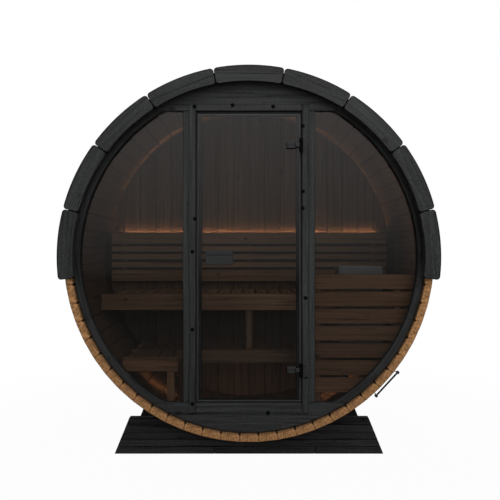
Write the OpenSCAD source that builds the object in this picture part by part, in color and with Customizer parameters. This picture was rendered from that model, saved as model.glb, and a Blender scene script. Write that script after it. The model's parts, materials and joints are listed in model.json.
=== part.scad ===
// Barrel sauna with a glazed front, lying on two cradles.
// X runs to the right, Y to the back and Z up; the origin is on the ground under the middle.

/* [Barrel] */
// Outer radius of the barrel, to the corners of the staves
barrel_r = 1003; // [900:1:1100]
// Length of the staves from front to back
barrel_len = 1120; // [1080:10:2400]
// Number of staves round the barrel
stave_n = 60; // [48:4:72]
// Thickness of a stave
stave_t = 39; // [28:1:45]
// Bevel on the inner edges of a stave
stave_bevel = 5; // [1:0.5:8]

/* [Roof] */
// Angle by which each end of the roof comes down past level
roof_drop = 6.5; // [0:0.5:15]
// Number of courses of roofing from one eave to the other
course_n = 32; // [24:2:48]
// Thickness of the roofing
roofing_t = 7; // [4:0.5:12]
// Number of sawn segments in each roof arch
arch_n = 9; // [5:2:15]
// Width of an arch across its board
arch_w = 84; // [60:1:110]
// Height of an arch above the staves
arch_rise = 26; // [18:1:45]
// Thickness of an arch
arch_t = 40; // [25:1:60]
// Open joint between two arch segments
arch_joint = 5; // [1:0.5:10]

/* [Cradles] */
// Wood left under the barrel in the middle of a cradle
cradle_base = 92; // [60:1:140]
// Height of a cradle at its shoulders
cradle_h = 201; // [160:1:260]
// Width of a cradle on the ground
cradle_w = 1488; // [1300:2:1800]
// Distance that each end of a cradle leans in
cradle_lean = 82; // [20:1:140]
// Thickness of a cradle
cradle_t = 45; // [35:1:80]
// Distance from the ends of the staves to a cradle
cradle_inset = 100; // [85:5:250]

/* [Hoops] */
// Width of a hoop
hoop_w = 30; // [20:1:40]
// Thickness of a hoop
hoop_t = 1.5; // [1:0.1:2]
// Distance from the ends of the staves to a hoop
hoop_inset = 60; // [45:1:75]
// Angle of the tension rod below level, on the right
rod_angle = 42.7; // [30:0.1:50]
// Length of the tension rod
rod_len = 192; // [150:1:240]
// Thickness of the tension rod
rod_d = 10; // [6:0.5:12]
// Height of the tension rod above the staves
rod_rise = 36; // [25:1:50]

/* [Front wall] */
// Distance from the front ends of the staves to the front wall
wall_recess = 50; // [40:1:90]
// Thickness of the front wall
wall_t = 45; // [35:1:60]
// Width of the curved rim of the front wall
rim_w = 41; // [30:1:70]
// Number of segments in each side of the rim
rim_n = 6; // [4:1:8]
// Height of the board over the doorway, to the top of the barrel
header_h = 203; // [150:1:260]
// Height of the board under the doorway, from the bottom of the barrel
threshold_h = 203; // [150:1:260]
// Width of a doorpost
post_w = 71; // [55:1:100]
// Thickness of a side pane
pane_t = 8; // [6:1:12]
// Distance from the front of the wall to a side pane
pane_recess = 18; // [10:1:24]

/* [Door] */
// Width of the doorway between the posts
doorway_w = 582; // [520:2:700]
// Thickness of the glass door
door_t = 8; // [6:1:10]
// Gap on each side of the door
door_gap = 10; // [7:0.5:12]
// Gap above the door
door_head_gap = 19; // [10:1:24]
// Gap below the door
door_foot_gap = 10; // [8:0.5:14]
// Distance from the front of the wall to the door
door_recess = 2; // [1:0.5:4]
// Running gap between the door and its stop
stop_gap = 5; // [5:0.5:8]
// Width of the stop that the door closes on
stop_w = 30; // [24:1:40]
// Width of the casing round the doorway
casing_w = 37; // [28:1:44]
// Thickness of the casing
casing_t = 10; // [8:0.5:14]

/* [Hinges and handle] */
// Distance from the hinges to the top and the bottom of the door
hinge_inset = 170; // [120:5:300]
// Height of a hinge
hinge_h = 60; // [50:1:90]
// Distance from the door to the hinge pin
hinge_standoff = 22; // [20:0.5:26]
// Outer size of a hinge knuckle
knuckle_d = 16; // [14:0.5:18]
// Thickness of a hinge pin
pin_d = 8; // [6:0.5:9]
// Width of the clamp that holds the glass
clamp_w = 50; // [40:1:70]
// Height of the clamp that holds the glass
clamp_h = 38; // [30:1:46]
// Width of the handle
handle_w = 150; // [110:5:200]
// Height of the handle
handle_h = 76; // [50:1:110]
// Thickness of the handle
handle_t = 26; // [20:1:40]
// Distance from the free edge of the door to the handle
handle_inset = 44; // [36:1:80]

/* [Back wall and backrest] */
// Distance from the rear ends of the staves to the back wall
back_recess = 67; // [40:1:100]
// Thickness of the back wall
back_t = 40; // [28:1:60]
// Gap between the seat and the backrest
backrest_gap = 52; // [30:1:90]
// Height of the lowest backrest slat
backrest_low_h = 80; // [50:1:110]
// Height of each middle backrest slat
backrest_mid_h = 39; // [30:1:60]
// Height of the top backrest slat
backrest_top_h = 78; // [50:1:90]
// Number of middle backrest slats
backrest_mid_n = 3; // [1:1:5]
// Open gap between two backrest slats
backrest_slit = 14; // [8:1:24]
// Thickness of a backrest slat
backrest_t = 22; // [16:1:30]
// Distance that the backrest stands off the wall
backrest_off = 48; // [30:1:70]

/* [Benches] */
// Height of the upper bench above the lowest stave
upper_h = 733; // [680:1:780]
// Share of the cabin's depth that the upper bench takes
upper_share = 0.587; // [0.5:0.001:0.61]
// Height of the board along the front of the upper bench
upper_board_h = 100; // [80:1:120]
// Height of the lower bench above the lowest stave
lower_h = 398; // [360:1:440]
// Depth of the lower bench from front to back
lower_depth = 267; // [220:1:290]
// Distance that the lower bench stands forward of the upper one
lower_step = 47; // [20:1:90]
// Height of the boards along the lower benches
lower_board_h = 80; // [65:1:100]
// Distance from the front wall to the side bench
side_set = 49; // [30:1:90]
// Distance from the middle to the side bench
side_x = 398; // [360:1:440]
// Width of a seat slat
slat_w = 68; // [50:1:90]
// Open gap between two seat slats
slat_gap = 11; // [6:1:16]
// Thickness of a seat slat
slat_t = 27; // [20:1:34]
// Thickness of the boards and bearers of the benches
board_t = 25; // [20:1:35]
// Width of the posts and legs of the benches
leg_w = 42; // [32:1:60]

/* [Heater] */
// Number of slats in the front of the heater guard
guard_n = 7; // [4:1:8]
// Height of a guard slat
guard_slat_h = 84; // [60:1:90]
// Open gap between two guard slats
guard_gap = 14; // [8:1:20]
// Height of the lowest guard slat above the lowest stave
guard_clear = 188; // [160:1:220]
// Distance from the middle to the heater guard
guard_x = 345; // [320:1:380]
// Distance from the front wall to the heater guard
guard_set = 105; // [80:1:130]
// Thickness of a guard slat
guard_t = 22; // [16:1:28]
// Width of the heater
heater_w = 256; // [200:2:280]
// Distance from the front of the guard to the heater
heater_set = 64; // [40:1:90]
// Height of the heater
heater_h = 478; // [400:2:500]
// Distance from the staves to the lower edge of the heater
heater_gap = 20; // [10:1:40]
// Height of the heater above the lowest stave
heater_clear = 425; // [420:1:460]

/* [Clearances] */
// Gap between two pieces that sit together
fit = 0.3; // [0.2:0.05:0.5]
// Gap between the ends of a bench and the staves
end_gap = 4; // [2:0.5:12]

/* [Hidden] */
$fn = 120;
wood_light = "#a1784f";
wood_dark = "#6b4a33";
stain = "#26282a";
steel = "#9a9da0";
black_metal = "#1a1b1c";
glass_tint = "#3a342f80";
felt = "#222325";
lamp = "#ffb066";

// Barrel: radii to the flats of the staves, and the levels that follow from them
stave_pitch = 360 / stave_n;
stave_out = barrel_r * cos(stave_pitch / 2);
stave_in = stave_out - stave_t;
axis_z = cradle_base + barrel_r;
inside_r = stave_in - fit;
front_y = -barrel_len / 2;
rear_y = barrel_len / 2;

// Roof: each arch hangs on the ends of the staves
arch_out = barrel_r + arch_rise;
arch_in = arch_out - arch_w;
roof_span = 180 + 2 * roof_drop;
course_pitch = roof_span / course_n;
roofing_in = barrel_r + hoop_t + 3 * fit;

// Hoops: each strap ends in two lugs, and the rod that joins them stands clear of the staves
lug_inset = 15;
lug_turn = asin((rod_len / 2 - lug_inset) / (barrel_r + rod_rise));
lug_t = 4;
lug_top = rod_rise + rod_d;
nut_d = 2 * rod_d;
nut_h = 0.8 * rod_d;

// Front wall: levels are measured from the barrel's axis
wall_front = front_y + wall_recess;
wall_back = wall_front + wall_t;
rim_in = inside_r - rim_w;
header_z = barrel_r - header_h;
threshold_z = threshold_h - barrel_r;
post_in = doorway_w / 2;
post_out = post_in + post_w;
pane_front = wall_front + pane_recess;

// Door: closes on the stops and turns about a pin in front of the gap on the right
door_half = post_in - door_gap;
door_bottom = threshold_z + door_foot_gap;
door_top = header_z - door_head_gap;
door_front = wall_front + door_recess;
door_back = door_front + door_t;
stop_front = door_back + stop_gap;
stop_lap = 7;
hinge_x = post_in - door_gap / 2;
hinge_y = door_front - hinge_standoff;
hinge_levels = [door_bottom + hinge_inset, door_top - hinge_inset];
knuckle_h = hinge_h * 0.4;
leaf_w = casing_w * 0.75;
leaf_t = 5;
clamp_right = post_in - stop_w - stop_gap;
clamp_t = 14;
clamp_back_t = 6;
handle_left = handle_inset - door_half;
handle_z = (door_bottom + door_top) / 2;
casing_front = wall_front - casing_t;
casing_reveal = 2;
casing_head = header_z + casing_w - casing_reveal;
casing_foot = threshold_z - 1.5 * casing_w;
casing_back = wall_front - fit / 2;

// Cabin: levels are measured from the barrel's axis
floor_z = -stave_in;
back_front = rear_y - back_recess - back_t;
cabin_depth = back_front - wall_back;
upper_z = floor_z + upper_h;
upper_front = back_front - upper_share * cabin_depth;
upper_under = upper_z - slat_t;
upper_half = half_chord(inside_r, upper_z - upper_board_h) - end_gap;
lower_z = floor_z + lower_h;
lower_front = upper_front - lower_step;
lower_back = lower_front + lower_depth;
lower_under = lower_z - slat_t;
lower_left = end_gap - half_chord(inside_r, lower_z - lower_board_h);
lower_leg_left = lower_left * 0.6;
side_front = wall_back + side_set;
slat_pitch = slat_w + slat_gap;
backrest_z = upper_z + backrest_gap;
backrest_front = back_front - backrest_off - backrest_t;
backrest_mid_pitch = backrest_mid_h + backrest_slit;
backrest_h = backrest_low_h + backrest_mid_n * backrest_mid_pitch + backrest_slit + backrest_top_h;
backrest_half = half_chord(inside_r, min(backrest_z, -backrest_h / 2)) - 3 * end_gap;
batten_spread = inside_r * 0.88;
wall_light_h = 14;
wall_light_drop = 8;
wall_light_half = inside_r * 0.905;
bench_light_h = 10;
bench_light_share = 0.9;
guard_front = wall_back + guard_set;
guard_back = upper_front - end_gap;
guard_z = floor_z + guard_clear;
guard_pitch = guard_slat_h + guard_gap;
guard_top = guard_z + guard_n * guard_pitch - guard_gap;
guard_far = inside_r * 0.86;
heater_z = floor_z + heater_clear;
heater_front = guard_front + guard_t + heater_set;
heater_back = guard_back - end_gap;
heater_right = half_chord(inside_r, heater_z) - heater_gap;
heater_left = heater_right - heater_w;
heater_leg = 30;

// Half the width of the barrel at a level, for a circle of radius r about its axis
function half_chord(r, z) = sqrt(r * r - z * z);

// Extrudes a drawing of the barrel's cross-section from y0 to y1
module across(y0, y1) {
    translate([0, y1, axis_z]) rotate([90, 0, 0]) linear_extrude(y1 - y0) children();
}

// A block between two corners, with its levels measured from the barrel's axis
module block(low, high) {
    translate([low[0], low[1], axis_z + low[2]]) cube(high - low);
}

// Keeps what lies inside the staves
module inside_barrel(y0, y1, gap) {
    intersection() {
        children();
        across(y0, y1) circle(inside_r - gap);
    }
}

// Part of a flat ring between two angles less than half a turn apart
module ring_part(r_in, r_out, a0, a1) {
    reach = 1.1 * r_out / cos((a1 - a0) / 2);
    intersection() {
        difference() {
            circle(r_out);
            circle(r_in);
        }
        polygon([[0, 0], reach * [cos(a0), sin(a0)], reach * [cos(a1), sin(a1)]]);
    }
}

// A flat slab drawn between two distances from the axis, with its sides on radial lines
module radial_slab(r_in, r_out, pitch, bevel) {
    edge = [for (r = [r_in, r_in + bevel, r_out]) r * tan(pitch / 2) - fit / 2];
    polygon([
        [r_in, edge[0] - bevel], [r_in + bevel, edge[1]], [r_out, edge[2]],
        [r_out, -edge[2]], [r_in + bevel, -edge[1]], [r_in, bevel - edge[0]]
    ]);
}

// The staves whose middles lie from angle a0 up to, but not at, angle a1
module staves(a0, a1) {
    across(front_y, rear_y)
        for (i = [0 : stave_n - 1]) {
            angle = -90 + i * stave_pitch;
            if (angle >= a0 && angle < a1)
                rotate(angle) radial_slab(stave_in, stave_out, stave_pitch, stave_bevel);
        }
}

module floor_staves() {
    color(wood_light) staves(-90, -30);
    color(wood_light) staves(210, 270);
}

module right_staves() {
    color(wood_light) staves(-30, 30);
}

module roof_staves() {
    color(wood_light) staves(30, 150);
}

module left_staves() {
    color(wood_light) staves(150, 210);
}

// A cradle is a plank on edge, hollowed out to the barrel
module cradle(y0) {
    half = cradle_w / 2;
    color(stain) across(y0, y0 + cradle_t) difference() {
        translate([0, -axis_z])
            polygon([[-half, 0], [half, 0], [half - cradle_lean, cradle_h], [cradle_lean - half, cradle_h]]);
        circle(barrel_r + fit);
    }
}

module cradle_front() {
    cradle(front_y + cradle_inset);
}

module cradle_rear() {
    cradle(rear_y - cradle_inset - cradle_t);
}

// A hoop is a strap with a lug riveted on each end, and a rod through the lugs draws it tight
module hoop(y0) {
    r_in = barrel_r + fit;
    lug_foot = hoop_t + fit;
    color(steel) translate([0, y0 + hoop_w, axis_z]) rotate([90, 0, 0])
        rotate(lug_turn - rod_angle)
            rotate_extrude(angle = 360 - 2 * lug_turn)
                translate([r_in, 0]) square([hoop_t, hoop_w]);
    color(steel) difference() {
        across(y0, y0 + hoop_w)
            for (side = [-1, 1])
                rotate(-rod_angle + side * lug_turn)
                    translate([r_in + lug_foot, side > 0 ? 0 : -lug_t])
                        square([lug_top - lug_foot, lug_t]);
        rod_line(y0) cylinder(d = rod_d + 2 * fit, h = 2 * rod_len, center = true);
    }
}

// Places a drawing along the line of a tension rod, which becomes its Z axis
module rod_line(y0) {
    translate([0, y0 + hoop_w / 2, axis_z])
        rotate([0, rod_angle, 0])
            translate([(barrel_r + rod_rise) * cos(lug_turn), 0, 0])
                children();
}

module tension_rod(y0) {
    lug_far = (barrel_r + rod_rise) * sin(lug_turn) + lug_t + rod_d / 4;
    color(black_metal) rod_line(y0) {
        cylinder(d = rod_d, h = rod_len, center = true);
        translate([0, 0, lug_far]) cylinder(d = nut_d, h = nut_h, $fn = 6);
        translate([0, 0, -lug_far - nut_h]) cylinder(d = nut_d, h = nut_h, $fn = 6);
    }
}

module front_hoop() {
    hoop(front_y + hoop_inset);
}

module rear_hoop() {
    hoop(rear_y - hoop_inset - hoop_w);
}

module front_tension_rod() {
    tension_rod(front_y + hoop_inset);
}

module rear_tension_rod() {
    tension_rod(rear_y - hoop_inset - hoop_w);
}

// The roofing lies on the hoops in level courses
module roofing() {
    color(felt) across(front_y, rear_y)
        for (i = [0 : course_n - 1])
            rotate((i + 0.5) * course_pitch - roof_drop)
                radial_slab(roofing_in, roofing_in + roofing_t, course_pitch, 0);
}

// An arch of sawn segments covers the ends of the staves
module arch(y0) {
    turn = roof_span / arch_n;
    joint = arch_joint / arch_out * 180 / PI;
    color(stain) across(y0, y0 + arch_t)
        for (i = [0 : arch_n - 1]) {
            start = i * turn - roof_drop;
            ring_part(arch_in, arch_out, start + joint / 2, start + turn - joint / 2);
        }
}

module front_arch() {
    arch(front_y - arch_t);
}

module rear_arch() {
    arch(rear_y);
}

// The rim of the front wall, between the header and the threshold, on the right
module rim() {
    past_boards = 8;
    half_turn = asin(max(header_z, -threshold_z) / inside_r) + past_boards;
    turn = 2 * half_turn / rim_n;
    joint = fit / rim_in * 180 / PI;
    color(stain) across(wall_front, wall_back)
        for (i = [0 : rim_n - 1]) {
            start = i * turn - half_turn;
            intersection() {
                ring_part(rim_in, inside_r, start + joint / 2, start + turn - joint / 2);
                translate([0, threshold_z + fit]) square([barrel_r, header_z - threshold_z - 2 * fit]);
            }
        }
}

module rim_right() {
    rim();
}

module rim_left() {
    mirror([1, 0, 0]) rim();
}

// The boards over and under the doorway fill the barrel from side to side
module header_board() {
    color(stain) across(wall_front, wall_back) intersection() {
        circle(inside_r);
        translate([-barrel_r, header_z]) square([2 * barrel_r, barrel_r]);
    }
}

module threshold_board() {
    color(stain) across(wall_front, wall_back) intersection() {
        circle(inside_r);
        translate([-barrel_r, threshold_z - barrel_r]) square([2 * barrel_r, barrel_r]);
    }
}

module right_post() {
    color(stain)
        block([post_in, wall_front, threshold_z + fit], [post_out, wall_back, header_z - fit]);
}

module left_post() {
    mirror([1, 0, 0]) right_post();
}

// Four boards planted on the front of the wall round the doorway
module door_casing() {
    side_out = post_in + casing_w;
    inner = post_in - fit;
    color(stain) {
        for (side = [0, 1])
            mirror([side, 0, 0])
                block([post_in, casing_front, casing_foot], [side_out, casing_back, casing_head]);
        for (z = [casing_head - casing_w, casing_foot])
            block([-inner, casing_front, z], [inner, casing_back, z + casing_w]);
    }
}

// Four strips inside the doorway that the door closes on
module door_stops() {
    head = door_top - stop_lap;
    foot = door_bottom + stop_lap;
    edge = post_in - fit;
    color(stain) {
        for (side = [0, 1])
            mirror([side, 0, 0])
                block([edge - stop_w, stop_front, foot + fit], [edge, wall_back, head - fit]);
        block([-edge, stop_front, head], [edge, wall_back, header_z - fit]);
        block([-edge, stop_front, threshold_z + fit], [edge, wall_back, foot]);
    }
}

// A side pane fits between the rim, the post and the boards over and under it
module right_pane() {
    color(glass_tint) across(pane_front, pane_front + pane_t) intersection() {
        circle(rim_in - fit);
        translate([post_out + fit, threshold_z + fit])
            square([barrel_r, header_z - threshold_z - 2 * fit]);
    }
}

module left_pane() {
    mirror([1, 0, 0]) right_pane();
}

// The fixed half of each hinge: a leaf on the casing, two knuckles and the pin
module frame_hinge_leaves() {
    color(black_metal)
        for (z = hinge_levels)
            translate([hinge_x, hinge_y, axis_z + z]) {
                translate([0, casing_front - fit - leaf_t - hinge_y, -hinge_h / 2])
                    difference() {
                        cube([leaf_w, leaf_t, hinge_h]);
                        translate([-1, -1, hinge_h / 2 - knuckle_h / 2 - 1])
                            cube([knuckle_d, leaf_t + 2, knuckle_h + 2]);
                    }
                for (side = [0, 1])
                    mirror([0, 0, side])
                        translate([0, 0, knuckle_h / 2 + fit])
                            cylinder(d = knuckle_d, h = (hinge_h - knuckle_h) / 2 - fit);
                cylinder(d = pin_d, h = hinge_h, center = true);
            }
}

module glass_door() {
    color(glass_tint)
        block([-door_half, door_front, door_bottom], [door_half, door_back, door_top]);
}

// The moving half of each hinge: a knuckle on an arm, and plates on both sides of the glass
module door_hinge_clamps() {
    arm_t = knuckle_d / 2;
    color(black_metal)
        for (z = hinge_levels) {
            difference() {
                union() {
                    block(
                        [clamp_right - clamp_w, door_front - fit - clamp_t, z - clamp_h / 2],
                        [clamp_right, door_front - fit, z + clamp_h / 2]
                    );
                    block(
                        [clamp_right - fit, hinge_y, z - knuckle_h / 2],
                        [hinge_x, hinge_y + arm_t, z + knuckle_h / 2]
                    );
                    translate([hinge_x, hinge_y, axis_z + z])
                        cylinder(d = knuckle_d, h = knuckle_h, center = true);
                }
                translate([hinge_x, hinge_y, axis_z + z])
                    cylinder(d = pin_d + 2 * fit, h = knuckle_h + 2, center = true);
            }
            block(
                [clamp_right - clamp_w, door_back + fit, z - clamp_h / 2],
                [clamp_right, door_back + fit + clamp_back_t, z + clamp_h / 2]
            );
        }
}

// A handle is a block with a finger groove along its face
module handle(y0, y1, groove_y) {
    groove = handle_t / 4;
    right = handle_left + handle_w;
    color(black_metal) difference() {
        block([handle_left, y0, handle_z - handle_h / 2], [right, y1, handle_z + handle_h / 2]);
        translate([handle_left - 1, groove_y, axis_z + handle_z + handle_h / 6])
            rotate([45, 0, 0])
                translate([0, -groove / 2, -groove / 2])
                    cube([handle_w + 2, groove, groove]);
    }
}

// The outer handle also carries the catch beside it
module outer_handle() {
    catch_w = handle_inset * 0.6;
    catch_h = handle_h / 7;
    handle(door_front - fit - handle_t, door_front - fit, door_front - fit - handle_t);
    color(black_metal)
        block(
            [handle_left - catch_w, door_front - fit - handle_t / 3, handle_z - catch_h],
            [handle_left - fit, door_front - fit, handle_z]
        );
}

module inner_handle() {
    handle(door_back + fit, door_back + fit + handle_t, door_back + fit + handle_t);
}

// The back wall closes the barrel
module back_wall() {
    color(wood_dark) across(back_front, back_front + back_t) circle(inside_r);
}

// The height of the underside of one backrest slat above the lowest one
function backrest_step(i) =
    i == 0 ? 0 : backrest_low_h + backrest_slit + (i - 1) * backrest_mid_pitch;

function backrest_slat_h(i) =
    i == 0 ? backrest_low_h : i > backrest_mid_n ? backrest_top_h : backrest_mid_h;

module backrest_slats() {
    back = backrest_front + backrest_t;
    color(wood_dark)
        for (i = [0 : backrest_mid_n + 1]) {
            z = backrest_z + backrest_step(i);
            block([-backrest_half, backrest_front, z], [backrest_half, back, z + backrest_slat_h(i)]);
        }
}

module backrest_battens() {
    color(wood_dark)
        for (x = batten_spread * [-1, -0.5, 0, 0.5, 1])
            block(
                [x - board_t / 2, backrest_front + backrest_t, backrest_z],
                [x + board_t / 2, back_front, backrest_z + backrest_h - board_t]
            );
}

// A strip of light lies on the back wall, hidden behind the top of the backrest
module backrest_light() {
    half = wall_light_half;
    top = backrest_z + backrest_h - wall_light_drop;
    color(lamp)
        block([-half, back_front - wall_light_h, top - wall_light_h], [half, back_front, top]);
}

// Seat slats that run from front to back, between two distances from the middle
module seat_slats(x0, x1, y0, y1, top) {
    first = ceil((x0 + slat_w / 2) / slat_pitch);
    last = floor((x1 - slat_w / 2) / slat_pitch);
    color(wood_dark)
        for (i = [first : last])
            block(
                [i * slat_pitch - slat_w / 2, y0, top - slat_t],
                [i * slat_pitch + slat_w / 2, y1, top]
            );
}

// The upper bench: slats behind a front board, on bearers that run along the bench
module upper_bench_slats() {
    seat_slats(-upper_half, upper_half, upper_front + board_t, back_front, upper_z);
}

module upper_bench_frame() {
    bearer_h = upper_board_h - slat_t;
    foot = upper_z - upper_board_h;
    color(wood_dark) {
        block([-upper_half, upper_front, foot], [upper_half, upper_front + board_t, upper_z]);
        for (y = [upper_front + board_t + fit, back_front - board_t])
            block([-upper_half, y, upper_under - bearer_h / 2], [upper_half, y + board_t, upper_under]);
        inside_barrel(upper_front, back_front, 0)
            for (side = [0, 1])
                mirror([side, 0, 0])
                    block(
                        [upper_half - 2 * board_t, upper_front + board_t + fit, upper_under - bearer_h],
                        [barrel_r, back_front, upper_under - bearer_h / 2 - fit]
                    );
    }
}

// A post carries the middle of the upper bench on the lower one
module upper_bench_post() {
    color(wood_dark)
        block(
            [-leg_w / 2, upper_front, lower_z],
            [leg_w / 2, upper_front + leg_w, upper_z - upper_board_h]
        );
}

// The lower bench runs from the staves on the left to the heater guard
module lower_bench_slats() {
    seat_slats(lower_left, guard_x - end_gap, lower_front + board_t, lower_back - board_t, lower_z);
}

module lower_bench_frame() {
    right = guard_x - fit;
    color(wood_dark) {
        for (y = [lower_front, lower_back - board_t])
            block([lower_left, y, lower_z - lower_board_h], [right, y + board_t, lower_z]);
        for (y = [lower_front + board_t + fit, lower_back - 2 * board_t - fit])
            block([lower_left, y, lower_under - board_t], [right, y + board_t, lower_under]);
        inside_barrel(lower_front, lower_back, 0)
            for (y = [lower_front, lower_back - leg_w])
                for (x = [lower_leg_left, right - leg_w])
                    block([x, y, floor_z], [x + leg_w, y + leg_w, lower_z - lower_board_h - fit]);
    }
}

// The side bench stands in front of the lower bench on the left
module side_bench_slats() {
    seat_slats(lower_left, -side_x, side_front + board_t, lower_front, lower_z);
}

module side_bench_frame() {
    leg_x = -side_x - 1.5 * leg_w;
    foot = lower_z - lower_board_h;
    color(wood_dark) {
        block([lower_left, side_front, foot], [-side_x, side_front + board_t, lower_z]);
        for (y = [side_front + board_t + fit, lower_front - board_t - fit])
            block([lower_left, y, lower_under - board_t], [-side_x, y + board_t, lower_under]);
        inside_barrel(side_front, lower_front, 0)
            block([leg_x, side_front, floor_z], [leg_x + leg_w, side_front + leg_w, foot - fit]);
    }
}

// A strip of light lies under the front edge of the lower bench
module bench_light() {
    top = lower_under - board_t;
    color(lamp)
        block(
            [lower_left * bench_light_share, lower_front + board_t + fit, top - bench_light_h],
            [guard_x * bench_light_share, lower_front + 2 * board_t, top]
        );
}

// The heater guard: level slats across the front and down the left side
module guard_slats() {
    color(wood_dark)
        inside_barrel(guard_front, guard_back, end_gap)
            for (i = [0 : guard_n - 1]) {
                z = guard_z + i * guard_pitch;
                top = z + guard_slat_h;
                block([guard_x, guard_front, z], [barrel_r, guard_front + guard_t, top]);
                block([guard_x, guard_front + guard_t + fit, z], [guard_x + guard_t, guard_back, top]);
            }
}

// Posts behind the slats stand on the staves
module guard_posts() {
    near = guard_x + guard_t;
    front = guard_front + guard_t;
    color(wood_dark)
        inside_barrel(guard_front, guard_back, 0)
            for (foot = [[near, front], [near, guard_back - leg_w], [guard_far, front]])
                block(
                    [foot[0], foot[1], floor_z],
                    [foot[0] + leg_w, foot[1] + leg_w, guard_top]
                );
}

// The heater is a plain cabinet on four legs
module heater() {
    color(steel)
        block([heater_left, heater_front, heater_z], [heater_right, heater_back, heater_z + heater_h]);
}

module heater_legs() {
    color(black_metal)
        inside_barrel(heater_front, heater_back, 0)
            for (x = [heater_left + heater_w / 10, heater_left + heater_w * 0.6])
                for (y = [heater_front, heater_back - heater_leg])
                    block([x, y, floor_z], [x + heater_leg, y + heater_leg, heater_z]);
}

cradle_front();
cradle_rear();
floor_staves();
left_staves();
right_staves();
roof_staves();
front_hoop();
rear_hoop();
front_tension_rod();
rear_tension_rod();
roofing();
front_arch();
rear_arch();
rim_left();
rim_right();
header_board();
threshold_board();
left_post();
right_post();
door_casing();
door_stops();
left_pane();
right_pane();
frame_hinge_leaves();
glass_door();
door_hinge_clamps();
outer_handle();
inner_handle();
back_wall();
backrest_slats();
backrest_battens();
backrest_light();
upper_bench_slats();
upper_bench_frame();
upper_bench_post();
lower_bench_slats();
lower_bench_frame();
side_bench_slats();
side_bench_frame();
bench_light();
guard_slats();
guard_posts();
heater();
heater_legs();
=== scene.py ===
"""Barrel sauna: boards, staves, shingles, glass, fittings and light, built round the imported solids."""

import json
import math
import random

import bmesh
import bpy
from bpy.props import FloatProperty, FloatVectorProperty, IntProperty, PointerProperty
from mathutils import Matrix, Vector


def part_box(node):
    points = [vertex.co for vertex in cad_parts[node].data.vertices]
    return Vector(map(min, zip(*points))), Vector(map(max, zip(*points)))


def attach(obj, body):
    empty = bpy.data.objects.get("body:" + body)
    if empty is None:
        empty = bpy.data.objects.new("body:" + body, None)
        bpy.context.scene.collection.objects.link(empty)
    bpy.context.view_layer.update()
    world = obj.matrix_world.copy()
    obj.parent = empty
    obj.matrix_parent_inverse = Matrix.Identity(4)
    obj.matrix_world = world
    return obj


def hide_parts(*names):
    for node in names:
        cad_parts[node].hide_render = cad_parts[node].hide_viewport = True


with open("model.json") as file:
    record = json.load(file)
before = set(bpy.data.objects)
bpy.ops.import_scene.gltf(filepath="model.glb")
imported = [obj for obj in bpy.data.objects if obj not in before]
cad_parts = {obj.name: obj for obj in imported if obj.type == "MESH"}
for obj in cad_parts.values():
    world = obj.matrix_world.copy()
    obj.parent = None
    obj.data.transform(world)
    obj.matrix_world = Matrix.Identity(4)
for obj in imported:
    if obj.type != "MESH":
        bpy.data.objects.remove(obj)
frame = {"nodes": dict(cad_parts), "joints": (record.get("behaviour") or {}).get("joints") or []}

bl_info = {
    "name": "Barrel sauna",
    "version": (1, 0, 0),
    "blender": (4, 5, 0),
    "location": "View3D > Sidebar > Sauna",
    "description": "Builds the finished pieces of a barrel sauna on its solids",
    "category": "Object",
}

# The angles from which an edge is rounded, to which two faces are one and from which shading breaks
SHARP, FLAT, CREASE = math.radians(25), math.radians(0.2), math.radians(35)
# How close two corners are joined, and how close two measures are the same
JOIN, CLOSE = 1e-5, 0.001
# Rounding on the edges of what isn't a planed board
EDGES = {
    "cradle": 0.0014, "stave": 0.0022, "felt": 0.0006, "rim": 0.0015, "pane": 0.001, "seal": 0.0012,
    "door": 0.002, "handle": 0.0028, "clamp": 0.006, "leaf": 0.001, "diffuser": 0.0003, "leg": 0.002,
    "case": 0.0009, "louvre": 0.0008,
}
# The angle of the first stave of each group, in degrees
FIRST_STAVE = {"floor_staves": 210, "left_staves": 150, "right_staves": -30, "roof_staves": 30}
# Where the joints in the lowest layer of a cradle meet its foot and its top, and their half width
BUTTS = ((-0.189, -0.197), (0.363, 0.371))
BUTT_GAP = 0.0006
# The inputs that bring the ring tree's materials
RING_MATERIALS = ("Material", "Inner material", "Lip material", "End material", "Cover material")
# Each lamp's name, place, target, size and power, and whether it shows in gloss
LAMPS = (
    ("key_light", (0.9, -4.2, 5.4), (0, -0.4, 1.2), 3.0, 140, True),
    ("front_light", (0.9, -8.0, 3.2), (0, 0, 1.1), 5.0, 380, False),
    ("rear_light", (-2.4, 5.2, 3.4), (0, 0.4, 1.0), 3.0, 150, False),
    ("top_light", (0.3, 1.5, 6.0), (0, 0, 1.2), 4.0, 120, True),
)
# The side, distance from the middle, depth and power of each beam under the benches
LOW_BEAMS = (("left_beam", -1, 0.4, 0.11, 0.16), ("right_beam", 1, 0.47, 0.16, 0.34))
# The camera's place, with its height above the axis, and its lens in millimetres
CAMERA_X, CAMERA_Y, CAMERA_RISE = 0.0058, -4.317, 0.037
LENS, SENSOR = 50, 36


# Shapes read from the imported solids


def middle(node):
    """The middle of a node's box."""
    low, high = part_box(node)
    return (low + high) / 2


AXIS_Z = middle("back_wall").z
INSIDE_R = (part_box("back_wall")[1].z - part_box("back_wall")[0].z) / 2
FRONT_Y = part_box("roof_staves")[0].y
WALL_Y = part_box("rim_left")[0].y
REAR_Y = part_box("roof_staves")[1].y
STAVE_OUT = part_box("roof_staves")[1].z - AXIS_Z
RIM_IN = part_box("right_pane")[1].x
ARCH_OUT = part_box("front_arch")[1].z - AXIS_Z


def merged(node):
    """A copy of a node's solids with its corners joined and its flat faces whole."""
    bm = bmesh.new()
    bm.from_mesh(frame["nodes"][node].data)
    bmesh.ops.remove_doubles(bm, verts=bm.verts, dist=JOIN)
    bmesh.ops.dissolve_limit(bm, angle_limit=FLAT, verts=bm.verts, edges=bm.edges)
    return bm


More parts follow.
